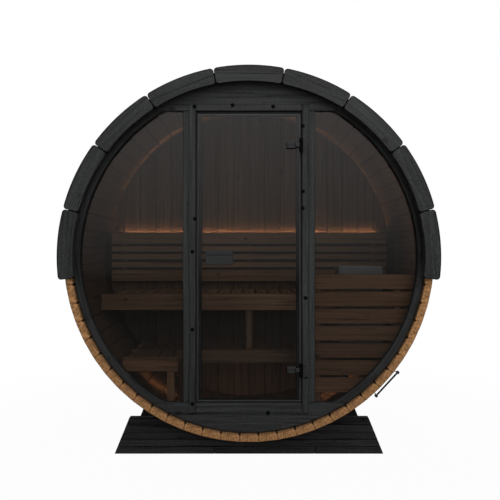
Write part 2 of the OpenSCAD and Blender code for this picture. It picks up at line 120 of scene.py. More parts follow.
def islands(bm):
    """The faces of each separate solid in a bmesh."""
    groups, seen = [], set()
    for start in bm.faces:
        if start in seen:
            continue
        seen.add(start)
        group, queue = [], [start]
        while queue:
            face = queue.pop()
            group.append(face)
            for edge in face.edges:
                for other in edge.link_faces:
                    if other not in seen:
                        seen.add(other)
                        queue.append(other)
        groups.append(group)
    return groups


def corners(points):
    """The lowest and the highest corner of some points."""
    points = [tuple(p) for p in points]
    return Vector(map(min, zip(*points))), Vector(map(max, zip(*points)))


def solids(node):
    """The box of each separate solid of a node, sorted along X, Y and Z."""
    bm = merged(node)
    boxes = [corners(v.co for f in faces for v in f.verts) for faces in islands(bm)]
    bm.free()
    return sorted(boxes, key=lambda box: tuple(round(c, 4) for c in box[0]))


# Meshes


def polar(radius, angle):
    """A point (x, z) at a distance and an angle from the barrel's axis."""
    return radius * math.cos(angle), AXIS_Z + radius * math.sin(angle)


def loft(bm, rings, loop=False):
    """Sides from ring to ring of corners, with a face at each end or, in a loop, back to the first."""
    if loop:
        rings = rings + rings[:1]
    else:
        bm.faces.new(rings[0])
        bm.faces.new(rings[-1][::-1])
    for near, far in zip(rings, rings[1:]):
        for i, a in enumerate(near):
            j = (i + 1) % len(near)
            bm.faces.new((near[j], a, far[i], far[j]))


def add_prism(bm, outline, *levels):
    """A closed prism on an outline of (x, z) points, with a ring of corners at each level of y."""
    loft(bm, [[bm.verts.new((x, y, z)) for x, z in outline] for y in levels])


def add_box(bm, low, high):
    """A box between two corners."""
    outline = [(low[0], low[2]), (high[0], low[2]), (high[0], high[2]), (low[0], high[2])]
    add_prism(bm, outline, low[1], high[1])


def add_turned(bm, profile, base, axis, sides):
    """A closed turned shape: a profile of (radius, height) pairs spun about an axis through base."""
    axis = Vector(axis).normalized()
    across = axis.orthogonal().normalized()
    other = axis.cross(across)
    turns = [2 * math.pi * i / sides for i in range(sides)]
    arms = [across * math.cos(turn) + other * math.sin(turn) for turn in turns]
    centres = [(radius, Vector(base) + axis * height) for radius, height in profile]
    loft(bm, [[bm.verts.new(centre + arm * radius) for arm in arms] for radius, centre in centres])


def rounded(width, height, radius, steps):
    """An outline of (x, y) points: a rectangle with rounded corners, its long sides in steps."""
    points = []
    half_w, half_h = width / 2 - radius, height / 2 - radius
    for corner, (cx, cy) in enumerate(((1, 1), (-1, 1), (-1, -1), (1, -1))):
        for k in range(5):
            turn = (corner + k / 4) * math.pi / 2
            points.append((cx * half_w + radius * math.cos(turn), cy * half_h + radius * math.sin(turn)))
        if corner in (0, 2):
            side = 1 if corner == 0 else -1
            for k in range(1, steps):
                points.append((side * half_w * (1 - 2 * k / steps), side * height / 2))
    return points


def soften(bm, width, segments=2):
    """Rounds every sharp edge and marks the rounded strips, with normals outwards."""
    bmesh.ops.recalc_face_normals(bm, faces=bm.faces)
    rim = bm.faces.layers.float.new("rim")
    edges = [e for e in bm.edges if len(e.link_faces) == 2 and e.calc_face_angle(0) > SHARP]
    if width and edges:
        made = bmesh.ops.bevel(
            bm, geom=edges, offset=width, offset_type="OFFSET", segments=segments,
            profile=0.5, affect="EDGES", clamp_overlap=True,
        )
        for face in made["faces"]:
            face[rim] = 1.0
    bmesh.ops.recalc_face_normals(bm, faces=bm.faces)


def lay_grain(bm, seed, along="long"):
    """Gives every board a tone and its own grain, along X, Y, Z, its long side or the barrel's curve."""
    grain = bm.verts.layers.float_vector.new("grain")
    tone = bm.verts.layers.float.new("tone")
    chance = random.Random(seed)
    for faces in islands(bm):
        verts = {v for f in faces for v in f.verts}
        low, high = corners(v.co for v in verts)
        centre, size = (low + high) / 2, high - low
        if along == "curve":
            turn = math.atan2(centre.z - AXIS_Z, centre.x)
            axes = [
                Vector((-math.sin(turn), 0, math.cos(turn))),
                Vector((math.cos(turn), 0, math.sin(turn))),
                Vector((0, 1, 0)),
            ]
        else:
            first = "xyz".find(along) if along in "xyz" else max(range(3), key=lambda i: size[i])
            axes = [Vector([float(k == (first + i) % 3) for k in range(3)]) for i in range(3)]
        value = chance.random()
        for vert in verts:
            arm = vert.co - centre
            vert[grain] = [arm.dot(a) for a in axes]
            vert[tone] = value


def new_piece(name, mesh, nodes, body="cabin"):
    """Puts a mesh in the scene as a piece that rides on a body and stands for some nodes."""
    piece = bpy.data.objects.new(name, mesh)
    bpy.context.scene.collection.objects.link(piece)
    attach(piece, body)
    if nodes:
        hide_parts(*nodes)
    return piece


def mesh_of(name, bm, materials, smooth=False):
    """Turns a bmesh into a mesh with materials."""
    mesh = bpy.data.meshes.new(name)
    bm.to_mesh(mesh)
    bm.free()
    for material in materials:
        mesh.materials.append(material)
    if smooth:
        mesh.polygons.foreach_set("use_smooth", [True] * len(mesh.polygons))
        mesh.set_sharp_from_angle(angle=CREASE)
    return mesh


def put(name, bm, looks, nodes, body="cabin", smooth=False):
    """Makes a bmesh into a piece in the finishes named, with its normals outwards."""
    bmesh.ops.recalc_face_normals(bm, faces=bm.faces)
    return new_piece(name, mesh_of(name, bm, [finish(look) for look in looks], smooth), nodes, body)


def two_tone(piece, test):
    """Gives the faces that pass a test the second finish of a piece."""
    for face in piece.data.polygons:
        face.material_index = int(test(face))


def dress(node, look, edge, along="long", body="cabin", seed=None, shape=None):
    """Boards made from a node's own solids, with rounded edges and grain."""
    bm = merged(node)
    if shape:
        shape(bm)
    soften(bm, edge)
    lay_grain(bm, seed or node, along)
    return put(node + "_finish", bm, [look], [node], body)


# Node trees


def sum_of(operation, turned=False):
    """A method that adds a Math node for a wire and what it is summed with, in either order."""

    def method(self, *others):
        return self.graph.maths(operation, *((*others, self) if turned else (self, *others)))

    return method


class Wire:
    """An output socket that takes part in sums by adding Math nodes to its tree."""

    __add__, __radd__ = sum_of("ADD"), sum_of("ADD", turned=True)
    __sub__, __rsub__ = sum_of("SUBTRACT"), sum_of("SUBTRACT", turned=True)
    __mul__, __rmul__ = sum_of("MULTIPLY"), sum_of("MULTIPLY", turned=True)
    __truediv__, __mod__ = sum_of("DIVIDE"), sum_of("MODULO")
    __lt__, __gt__ = sum_of("LESS_THAN"), sum_of("GREATER_THAN")
    __abs__, floor, most = sum_of("ABSOLUTE"), sum_of("FLOOR"), sum_of("MAXIMUM")

    def __init__(self, graph, socket):
        self.graph = graph
        self.socket = socket

    def ease(self, start, end):
        """Goes smoothly from 0 at start to 1 at end."""
        return self.graph.node(
            "ShaderNodeMapRange",
            {"interpolation_type": "SMOOTHSTEP"},
            {"Value": self, "From Min": start, "From Max": end},
        )


class Graph:
    """A node tree that is filled by plain calls."""

    def __init__(self, tree):
        self.tree = tree

    def node(self, kind, settings=None, inputs=None, out=0):
        """Adds a node, sets it up, fills or links its inputs and returns one output."""
        made = self.tree.nodes.new(kind)
        for name, value in (settings or {}).items():
            setattr(made, name, value)
        for key, value in (inputs or {}).items():
            if isinstance(value, Wire):
                self.tree.links.new(value.socket, made.inputs[key])
            else:
                made.inputs[key].default_value = value
        return Wire(self, made.outputs[out]) if len(made.outputs) else made

    def maths(self, operation, *values):
        return self.node("ShaderNodeMath", {"operation": operation}, dict(enumerate(values)))

    def vector(self, x, y, z):
        return self.node("ShaderNodeCombineXYZ", None, {"X": x, "Y": y, "Z": z})

    def parts(self, vector):
        """The X, Y and Z of a vector."""
        made = self.node("ShaderNodeSeparateXYZ", None, {"Vector": vector})
        return [Wire(self, socket) for socket in made.socket.node.outputs]

    def scaled(self, vector, factors):
        return self.node("ShaderNodeVectorMath", {"operation": "MULTIPLY"}, {0: vector, 1: factors})

    def moved(self, vector, step):
        return self.node("ShaderNodeVectorMath", {"operation": "ADD"}, {0: vector, 1: step})

    def lit(self, colour, light):
        """A colour times a number."""
        return self.node("ShaderNodeVectorMath", {"operation": "SCALE"}, {0: colour, "Scale": light})

    def blend(self, factor, first, second):
        """Mixes two colours."""
        return self.node("ShaderNodeMix", {"data_type": "RGBA"}, {0: factor, 6: first, 7: second}, out=2)

    def noise(self, vector, scale=1.0, detail=2.0, roughness=0.5):
        return self.node(
            "ShaderNodeTexNoise", None,
            {"Vector": vector, "Scale": scale, "Detail": detail, "Roughness": roughness},
        )

    def attribute(self, name, out="Fac"):
        return self.node("ShaderNodeAttribute", {"attribute_name": name}, out=out)

    def bump(self, height, strength, distance):
        values = {"Height": height, "Strength": strength, "Distance": distance}
        return self.node("ShaderNodeBump", None, values)


def rgba(colour):
    """A colour property as four numbers."""
    return (*colour, 1.0)


def shade(colour, factor):
    """A colour made darker or lighter."""
    return (*(min(1.0, c * factor) for c in colour), 1.0)


def new_material(name):
    """An empty material with its graph, shader and object coordinates."""
    material = bpy.data.materials.new(name)
    material.use_nodes = True
    shader = material.node_tree.nodes["Principled BSDF"]
    graph = Graph(material.node_tree)
    place = graph.node("ShaderNodeTexCoord", out="Object")
    return material, graph, shader, place


def feed(graph, shader, **inputs):
    """Links or sets inputs of a shader, with underscores for the spaces in their names."""
    for key, value in inputs.items():
        socket = shader.inputs[key.replace("_", " ")]
        if isinstance(value, Wire):
            graph.tree.links.new(value.socket, socket)
        else:
            socket.default_value = value


def own_place(graph):
    """A board's grain, tone and edges, and a place in the noise that is its own."""
    grain, tone, rim = graph.attribute("grain", "Vector"), graph.attribute("tone"), graph.attribute("rim")
    return grain, tone, rim, graph.moved(grain, graph.vector(tone * 17.0, tone * 31.0, tone * 23.0))


def wood(name, colour, contrast, knots, rough, gloss, spread, shadow, bright=1.0, sawn=0.0, fade=None):
    """Softwood: growth lines, fibres, checks and knots along each board, its own tone, painted shade on its
    rounded edges.
    """
    # A gain on the colour that lightens it as painted light.
    colour = shade(colour, bright)[:3]
    material, graph, shader, spot = new_material(name)
    _, tone, rim, place = own_place(graph)
    sway = graph.noise(graph.scaled(place, (1.6, 7.0, 7.0)), 1.0, 1.0)
    bend = graph.vector(0.0, sway * 2.2, sway * 1.8)
    broad = graph.noise(graph.scaled(place, (0.7, 11.0, 11.0)), 1.0, 2.0).ease(0.3, 0.7)
    lines = graph.moved(graph.scaled(place, (1.5, 72.0, 72.0)), bend)
    lines = graph.noise(lines, 1.0, 2.0, 0.6).ease(0.34, 0.66)
    fibres = graph.noise(graph.scaled(place, (9.0, 330.0, 330.0)), 1.0, 2.0).ease(0.3, 0.7)
    checks = graph.moved(graph.scaled(place, (2.6, 120.0, 120.0)), bend)
    checks = graph.noise(checks, 1.0, 1.0).ease(0.6, 0.68)
    cells = graph.tree.nodes.new("ShaderNodeTexVoronoi")
    cells.inputs["Scale"].default_value = 10.0
    graph.tree.links.new(graph.scaled(place, (0.75, 1.2, 1.2)).socket, cells.inputs["Vector"])
    far = Wire(graph, cells.outputs["Distance"])
    size = graph.node("ShaderNodeSeparateColor", None, {"Color": Wire(graph, cells.outputs["Color"])})
    knot = (size * 0.12 - far).ease(-0.01, 0.02) * knots
    halo = (size * 0.12 - far).ease(-0.09, 0.0) * knots
    light = 1.0 + contrast * (0.35 * broad + 0.45 * lines + 0.3 * fibres - 0.55 - 0.5 * checks - 0.3 * halo)
    # The shadow term paints shade on the rounded edges marked as rim; in grooves it also darkens the joints.
    light = light.most(0.15) * (1.0 - spread / 2 + spread * tone) * (1.0 - shadow * rim)
    if sawn:
        light = light * (1.0 - sawn / 2 + sawn * graph.noise(place, 130.0, 2.0).ease(0.35, 0.65))
    # Painted light and shade that change with the place on the board.
    if fade:
        light = light * fade(*graph.parts(spot))
    base = graph.lit(graph.blend(knot, rgba(colour), shade(colour, 0.3)), light)
    height = fibres * 0.3 + lines * 0.5 - checks * 0.6 - knot * 0.6
    feed(
        graph, shader,
        Base_Color=base,
        Roughness=rough + fibres * 0.18 + checks * 0.1 - knot * 0.15 + shadow * rim * 0.3,
        Normal=graph.bump(height, min(0.4, 0.57 * contrast), 0.0014),
        Specular_IOR_Level=gloss,
    )
    return material


def end_grain(name, colour):
    """Sawn ends of boards: growth rings round a heart outside the board, pores and checks, with painted shade on
    their rounded edges.
    """
    material, graph, shader, _ = new_material(name)
    grain, tone, rim, place = own_place(graph)
    shift = graph.vector(0.0, 0.05 - tone * 0.1, 0.06 + tone * 0.04)
    flat = graph.scaled(graph.moved(grain, shift), (0.0, 1.0, 1.0))
    heart = graph.node("ShaderNodeVectorMath", {"operation": "LENGTH"}, {0: flat}, out="Value")
    wander = graph.noise(place, 18.0, 2.0)
    rings = graph.maths("SINE", heart * 1100.0 + wander * 9.0)
    pores = graph.noise(place, 300.0, 2.0)
    blotch = graph.noise(graph.scaled(place, (1.0, 160.0, 60.0)), 1.0, 2.0)
    light = 0.05 + rings * 0.26 + pores * 0.9 + blotch.ease(0.3, 0.7)
    # The rim term is painted shade on the rounded edges of the ends.
    light = light.most(0.2) * (0.72 + 0.56 * tone) * (1.0 - 0.65 * rim)
    base = graph.lit(tuple(colour), light)
    feed(
        graph, shader,
        Base_Color=base,
        Roughness=0.72 + pores * 0.2,
        Normal=graph.bump(rings * 0.4 + pores, 0.3, 0.001),
        Specular_IOR_Level=0.06,
    )
    return material


def glass(name, colour, clear):
    """Tinted toughened glass with faint wiping marks."""
    material, graph, shader, place = new_material(name)
    marks = graph.noise(graph.scaled(place, (5.0, 5.0, 2.0)), 1.0, 3.0)
    feed(
        graph, shader,
        Base_Color=graph.blend(marks, shade(colour, 0.85), shade(colour, 1.15)),
        Roughness=0.03 + marks * 0.05,
        Alpha=1.0 - clear + marks * 0.02,
        IOR=1.5,
        Specular_IOR_Level=0.74,
    )
    return material


def metal(name, colour, rough, metallic, brushed):
    """Coated or brushed metal with a fine surface."""
    material, graph, shader, place = new_material(name)
    stretch = (6.0, 500.0, 500.0) if brushed else (420.0, 420.0, 420.0)
    fine = graph.noise(graph.scaled(place, stretch), 1.0, 2.0)
    broad = graph.noise(place, 7.0, 2.0)
    feed(
        graph, shader,
        Base_Color=graph.blend(fine * 0.6 + broad * 0.4, shade(colour, 0.82), shade(colour, 1.18)),
        Roughness=rough + (fine - 0.5) * 0.16 + (broad - 0.5) * 0.1,
        Metallic=metallic,
        Normal=graph.bump(fine, 0.18, 0.0004),
        Specular_IOR_Level=0.18,
    )
    return material


def felt(name, colour):
    """Roofing felt faced with mineral chips."""
    material, graph, shader, place = new_material(name)
    tone = graph.attribute("tone")
    chips = graph.node("ShaderNodeTexVoronoi", None, {"Vector": place, "Scale": 420.0}, out="Color")
    chip = graph.node("ShaderNodeSeparateColor", None, {"Color": chips})
    patch = graph.noise(place, 22.0, 3.0)
    light = (0.55 + chip * 0.9) * (0.8 + 0.4 * tone) * (0.75 + 0.5 * patch)
    base = graph.lit(tuple(colour), light)
    feed(
        graph, shader,
        Base_Color=base,
        Roughness=0.86 + chip * 0.12,
        Normal=graph.bump(chip, 0.5, 0.0012),
        Specular_IOR_Level=0.15,
    )
    return material


def plain(name, colour, gloss):
    """An even, dull skin, as on sealing strips, blackened screws and polished glass edges."""
    material, graph, shader, place = new_material(name)
    skin = graph.noise(place, 160.0, 2.0)
    feed(
        graph, shader,
        Base_Color=graph.blend(skin, shade(colour, 0.8), shade(colour, 1.2)),
        Roughness=0.55 + skin * 0.2,
        Normal=graph.bump(skin, 0.15, 0.0005),
        Specular_IOR_Level=gloss,
    )
    return material


def glow(name, colour, strength):
    """A milky diffuser with a row of lamps behind it."""
    material, graph, shader, place = new_material(name)
    along = graph.node("ShaderNodeSeparateXYZ", None, {"Vector": place})
    lamps = graph.maths("SINE", along * 2.0 * math.pi / 0.033) * 0.12 + 0.88
    base = graph.lit(tuple(colour), lamps)
    feed(graph, shader, Base_Color=base, Emission_Color=base, Emission_Strength=strength, Roughness=0.5)
    return material


def rim_arch_shadow(x, y, z):
    """Painted shadow of the arch, darkest at the height of the axis."""
    return 1.0 - 0.42 * z.ease(AXIS_Z - 0.25, AXIS_Z) * (1.0 - z.ease(AXIS_Z + 0.1, AXIS_Z + 0.4))


def arch_edge_shade(x, y, z):
    """Painted shade: a dark line along the outer edge."""
    rise = z - AXIS_Z
    return 1.0 - 0.8 * (x * x + rise * rise).ease((ARCH_OUT - 0.007) ** 2, (ARCH_OUT - 0.003) ** 2)


def corner_shade_and_side_light(x, y, z):
    """Painted shade in the corner behind the backrest, painted light at the sides near the front."""
    corner = y.ease(0.24, 0.34) * z.ease(0.3, 0.45) * (1.0 - z.ease(1.18, 1.24))
    sides = (x.ease(0.5, 0.85) + 0.4 * (0.0 - x).ease(0.5, 0.85)) * (1.0 - y.ease(-0.3, 0.1))
    return (1.0 - 0.5 * corner) * (1.0 + sides)


def lip_shadow(x, y, z):
    """Painted shadow next to the front wall and the back wall."""
    return 0.06 + 0.94 * abs(y).ease(0.012 - WALL_Y, -0.008 - FRONT_Y)


def bench_light_and_shade(x, y, z):
    """Painted light and shade: lighter towards the right, in the side pane and again in the doorway."""
    return 0.78 + 0.5 * x.ease(-0.8, -0.42) - 0.36 * x.ease(-0.4, -0.3) + 0.6 * x.ease(-0.05, 0.3)


def wall_shade(x, y, z):
    """Painted shade under the upper bench and behind the backrest."""
    under = z.ease(0.45, 0.52) * (1.0 - z.ease(0.72, 0.8))
    return 1.0 - 0.6 * (under + z.ease(0.9, 0.93) * (1.0 - z.ease(1.19, 1.23)))


def guard_slat_light(x, y, z):
    """Painted light and shade for each slat, with the steps in the gaps."""
    low = 1.27 - 0.27 * z.ease(0.4, 0.42) - 0.29 * z.ease(0.5, 0.52)
    return low + 0.14 * z.ease(0.6, 0.615) + 0.39 * z.ease(0.698, 0.712) - 0.24 * z.ease(0.894, 0.908)


STAINED = {"contrast": 0.95, "knots": 0.8, "rough": 0.5, "gloss": 0.18, "spread": 0.06, "shadow": 0.6}
PLANED = {"contrast": 0.7, "knots": 0.9, "rough": 0.5, "gloss": 0.2, "spread": 0.3, "shadow": 0.35}
STAVE = {**PLANED, "knots": 0.8, "rough": 0.52, "spread": 0.34}
# The name, the colour and the manner of each wooden finish
WOODS = {
    "stain": ("Black stain", "stain", {**STAINED, "sawn": 0.45}),
    # The header's stain is lightened as painted light.
    "header": ("Black stain, header", "stain", {**STAINED, "contrast": 0.7, "sawn": 0.3, "bright": 1.35}),
    "rim": ("Black stain, rims", "stain", {**STAINED, "fade": rim_arch_shadow}),
    "arch": ("Black stain, arches", "stain", {**STAINED, "shadow": 0.88, "sawn": 0.55, "fade": arch_edge_shade}),
    "stop": (
        "Black stain, door stops", "stop",
        {"contrast": 1.0, "knots": 1.0, "rough": 0.6, "gloss": 0.05, "spread": 0.3, "shadow": 0.5},
    ),
    "cradle": (
        "Black stain, cradle", "cradle",
        {**STAINED, "contrast": 1.2, "rough": 0.56, "gloss": 0.08, "spread": 0.25, "shadow": 0.95,
         "sawn": 0.45},
    ),
    "stave": ("Heat-treated staves", "stave", {**STAVE, "shadow": 0.5}),
    # Inside and lip are shaded and lit copies of the inner faces: painted shade and painted light.
    "stave_in": (
        "Heat-treated staves, inside", "stave_in",
        {**STAVE, "contrast": 0.4, "gloss": 0.06, "spread": 0.12, "shadow": 0.25, "fade": corner_shade_and_side_light},
    ),
    "stave_lip": (
        "Heat-treated staves, lip", "stave_lip",
        {**STAVE, "knots": 0.0, "gloss": 0.15, "shadow": 0.95, "fade": lip_shadow},
    ),
    "cabin": ("Heat-treated boards", "cabin", PLANED),
    # The seat's colour is lightened as painted light.
    "seat": ("Heat-treated boards, seat", "cabin", {**PLANED, "bright": 1.3}),
    "bench_front": ("Heat-treated boards, bench front", "cabin", {**PLANED, "fade": bench_light_and_shade}),
    "wall": ("Heat-treated wall boards", "wall", {**PLANED, "shadow": 0.5, "fade": wall_shade}),
    "guard": ("Heat-treated slats", "guard", {**PLANED, "fade": guard_slat_light}),
    "backrest": ("Heat-treated backrest", "cabin", {**PLANED, "shadow": 0.9}),
    # The low finishes are darker copies of the cabin wood: painted shade.
    "low_board": ("Heat-treated bearers, low", "low_board", PLANED),
    "low_seat": ("Heat-treated boards, low", "low_seat", PLANED),
}
# The same for the other finishes, with the function that makes each
OTHERS = {
    "stave_end": (end_grain, "Stave ends", "stave_end"),
    "glass_edge": (plain, "Polished glass edge", "glass_edge", 0.6),
    "seal": (plain, "Sealing strip", "seal", 0.15),
    "screw": (plain, "Black screws", "screw", 0.02),
    "hoop": (metal, "Strip steel", "hoop", 0.38, 1.0, False),
    "black": (metal, "Black powder coat", "fitting", 0.5, 0.0, False),
    "rod": (metal, "Black steel", "rod", 0.5, 0.0, False),
    "heater": (metal, "Sheet steel", "heater", 0.42, 1.0, True),
    "felt": (felt, "Roofing felt", "felt"),
}
FINISHES = {}


def finish(name):
    """The material of that name, made at its first use from the colours in the panel."""
    if name not in FINISHES:
        hue = bpy.context.scene.sauna_colours
        if name in WOODS:
            label, colour, manner = WOODS[name]
            made = wood(label, getattr(hue, colour), **manner)
        elif name in OTHERS:
            maker, label, colour, *manner = OTHERS[name]
            made = maker(label, getattr(hue, colour), *manner)
        else:
            maker, label, colour, value = {
                "glass": (glass, "Tinted glass", hue.glass, hue.clearness),
                "pane": (glass, "Tinted glass, panes", hue.glass, hue.clearness * 0.95),
                "wall_glow": (glow, "Light strip, wall", hue.glow, hue.wall_strength),
                "bench_glow": (glow, "Light strip, bench", hue.glow, hue.bench_strength),
            }[name]
            made = maker(label, colour, value)
        FINISHES[name] = made
    return FINISHES[name]


def new_tree(name, **sockets):
    """A geometry tree with named inputs, its graph and the wires that bring those inputs."""
    tree = bpy.data.node_groups.new(name, "GeometryNodeTree")
    tree.interface.new_socket(name="Geometry", in_out="INPUT", socket_type="NodeSocketGeometry")
    for label, kind in sockets.items():
        tree.interface.new_socket(name=label, in_out="INPUT", socket_type="NodeSocket" + kind)
    tree.interface.new_socket(name="Geometry", in_out="OUTPUT", socket_type="NodeSocketGeometry")
    graph = Graph(tree)
    start = tree.nodes.new("NodeGroupInput")
    given = {socket.name: Wire(graph, socket) for socket in start.outputs if socket.name}
    return tree, graph, given


def close_tree(graph, instances, given, ends=False):
    """Gives each copy a tone, makes the copies real, sets their material and closes the tree."""
    index = graph.node("GeometryNodeInputIndex")
    tone = graph.node(
        "FunctionNodeRandomValue", {"data_type": "FLOAT"}, {"ID": index, "Seed": given["Seed"]}, out=1
    )
    toned = graph.node(
        "GeometryNodeStoreNamedAttribute",
        {"data_type": "FLOAT", "domain": "INSTANCE"},
        {"Geometry": instances, "Name": "tone", "Value": tone},
    )
    real = graph.node("GeometryNodeRealizeInstances", None, {"Geometry": toned})
    done = graph.node("GeometryNodeSetMaterial", None, {"Geometry": real, "Material": given["Material"]})
    if ends:
        facing = graph.parts(graph.node("GeometryNodeInputNormal"))
        place = graph.parts(graph.node("GeometryNodeInputPosition"))
        outward = facing[0] * place[0] + facing[2] * (place[2] - given["Axis height"])
        inward, endward = -0.3, 0.6
        is_inner = outward < inward
        is_end = abs(facing[1]) > endward
        past_wall = abs(place[1]) > given["Cover depth"]
        # Stave ends above the cover height take black stain: painted shade behind the arches.
        covered = past_wall * (place[2] > given["Cover height"])
        # Inner faces past the walls take the lighter lip finish as painted light.
        chosen = {"Inner": is_inner, "Lip": is_inner * past_wall, "End": is_end, "Cover": covered}
        for label, share in chosen.items():
            done = graph.node(
                "GeometryNodeSetMaterial", None,
                {"Geometry": done, "Selection": share, "Material": given[label + " material"]},
            )
    graph.node("NodeGroupOutput", None, {"Geometry": done})


def ring_tree():
    """Copies of one board round the barrel's axis."""
    tree, graph, given = new_tree(
        "Ring of boards",
        **{"Count": "Int", "Pitch": "Float", "First": "Float", "Axis height": "Float", "Seed": "Int",
           **dict.fromkeys(RING_MATERIALS, "Material"), "Cover depth": "Float", "Cover height": "Float"},
    )
    start = graph.vector(0.0, 0.0, given["Axis height"])
    line = graph.node(
        "GeometryNodeMeshLine", None, {"Count": given["Count"], "Start Location": start, "Offset": (0, 0, 0)}
    )
    angle = given["First"] + graph.node("GeometryNodeInputIndex") * given["Pitch"]
    copies = graph.node(
        "GeometryNodeInstanceOnPoints", None,
        {"Points": line, "Instance": given["Geometry"], "Rotation": graph.vector(0.0, 0.0 - angle, 0.0)},
    )
    close_tree(graph, copies, given, ends=True)
    return tree


def row_tree():
    """Copies of one board in a straight row."""
    tree, graph, given = new_tree(
        "Row of boards", **{"Count": "Int", "Step": "Vector", "Seed": "Int", "Material": "Material"}
    )
    line = graph.node("GeometryNodeMeshLine", None, {"Count": given["Count"], "Offset": given["Step"]})
    copies = graph.node(
        "GeometryNodeInstanceOnPoints", None, {"Points": line, "Instance": given["Geometry"]}
    )
    close_tree(graph, copies, given)
    return tree


def shingle_tree():
    """Copies of one tab in courses that climb both sides of the roof, each course set over by half a tab."""
    tree, graph, given = new_tree(
        "Courses of shingles",
        **{"Courses": "Int", "Full tabs": "Int", "Tab width": "Float", "Pitch": "Float", "First": "Float",
           "Front": "Float", "Axis height": "Float", "Seed": "Int", "Material": "Material"},
    )
    per_course = given["Full tabs"] + 2
    index = graph.node("GeometryNodeInputIndex")
    course = (index / per_course).floor()
    tab = index - course * per_course
    angle = given["First"] + (course + 0.5) * given["Pitch"]
    odd = course % 2.0
    first_share = 0.25 + 0.5 * odd
    is_first = tab < 0.5
    is_last = tab > per_course - 1.5
    share = 1.0 - is_first * (1.0 - first_share) - is_last * first_share
    start = (first_share + tab - 1.0) * (1.0 - is_first)
    y = given["Front"] + (start + share * 0.5) * given["Tab width"]
    tabs = given["Courses"] * per_course
    line = graph.node("GeometryNodeMeshLine", None, {"Count": tabs, "Offset": (0, 0, 0)})
    spot = graph.vector(0.0, y, given["Axis height"])
    placed = graph.node("GeometryNodeSetPosition", None, {"Geometry": line, "Position": spot})
    far_side = angle > math.pi / 2
    copies = graph.node(
        "GeometryNodeInstanceOnPoints", None,
        {"Points": placed, "Instance": given["Geometry"],
         "Rotation": graph.vector(far_side * math.pi, 0.0 - angle, 0.0),
         "Scale": graph.vector(1.0, share, 1.0)},
    )
    close_tree(graph, copies, given)
    return tree


def screw_tree():
    """A screw head with a cross recess on every point of a mesh, turned to face one way."""
    tree, graph, given = new_tree(
        "Screw heads",
        **{"Head radius": "Float", "Head height": "Float", "Facing": "Vector", "Seed": "Int",
           "Material": "Material"},
    )
    radius, height = given["Head radius"], given["Head height"]
    head = graph.node(
        "GeometryNodeMeshCone", {"fill_type": "NGON"},
        {"Vertices": 20, "Radius Top": radius * 0.82, "Radius Bottom": radius, "Depth": height},
    )
    size = graph.vector(radius * 1.1, radius * 0.28, height)
    bar = graph.node("GeometryNodeMeshCube", None, {"Size": size})
    lift = graph.vector(0.0, 0.0, height * 0.9)
    raised = graph.node("GeometryNodeTransform", None, {"Geometry": bar, "Translation": lift})
    quarter = (0.0, 0.0, math.pi / 2)
    crossed = graph.node("GeometryNodeTransform", None, {"Geometry": raised, "Rotation": quarter})
    cut = graph.tree.nodes.new("GeometryNodeMeshBoolean")
    cut.operation = "DIFFERENCE"
    graph.tree.links.new(head.socket, cut.inputs["Mesh 1"])
    graph.tree.links.new(raised.socket, cut.inputs["Mesh 2"])
    graph.tree.links.new(crossed.socket, cut.inputs["Mesh 2"])
    screw = Wire(graph, cut.outputs["Mesh"])
    copies = graph.node(
        "GeometryNodeInstanceOnPoints", None,
        {"Points": given["Geometry"], "Instance": screw, "Rotation": given["Facing"]},
    )
    close_tree(graph, copies, given)
    return tree


TREES = {}


def grow(name, bm, kind, values, nodes, body="cabin"):
    """Runs a geometry tree on a bmesh and makes a piece of the plain mesh that comes of it."""
    makers = {"ring": ring_tree, "row": row_tree, "shingles": shingle_tree, "screws": screw_tree}
    if kind not in TREES:
        TREES[kind] = makers[kind]()
    holder = bpy.data.objects.new(name + "_seed", mesh_of(name, bm, []))
    bpy.context.scene.collection.objects.link(holder)
    modifier = holder.modifiers.new("Grow", "NODES")
    modifier.node_group = TREES[kind]
    for item in TREES[kind].interface.items_tree:
        if item.in_out == "INPUT" and item.name in values:
            modifier[item.identifier] = values[item.name]
    holder.update_tag()
    made = bpy.data.meshes.new_from_object(holder.evaluated_get(bpy.context.evaluated_depsgraph_get()))
    made.name = name
    holder.modifiers.remove(modifier)
    bpy.data.objects.remove(holder)
    new_piece(name, made, nodes, body)


def row_of(node, look, edge, seed):
    """Like slats of one node, in a row."""
    boxes = solids(node)
    low, high = boxes[0]
    bm = bmesh.new()
    add_box(bm, low, high)
    soften(bm, edge)
    lay_grain(bm, node, "y")
    values = {"Count": len(boxes), "Step": boxes[1][0] - low, "Seed": seed, "Material": finish(look)}
    grow(node + "_finish", bm, "row", values, [node])


# What a user would change


def length_property(label, words, value, least, most):
    """A length property with its name, description, default and limits."""
    return FloatProperty(
        name=label, description=words, default=value, min=least, max=most, unit="LENGTH", subtype="DISTANCE"
    )


def count_property(label, words, value, least, most):
    """A property for a number of like things."""
    return IntProperty(name=label, description=words, default=value, min=least, max=most)


def strength_property(label, words, value):
    """A property for the strength of a light strip."""
    return FloatProperty(name=label, description=words, default=value, min=0.0, max=200.0)


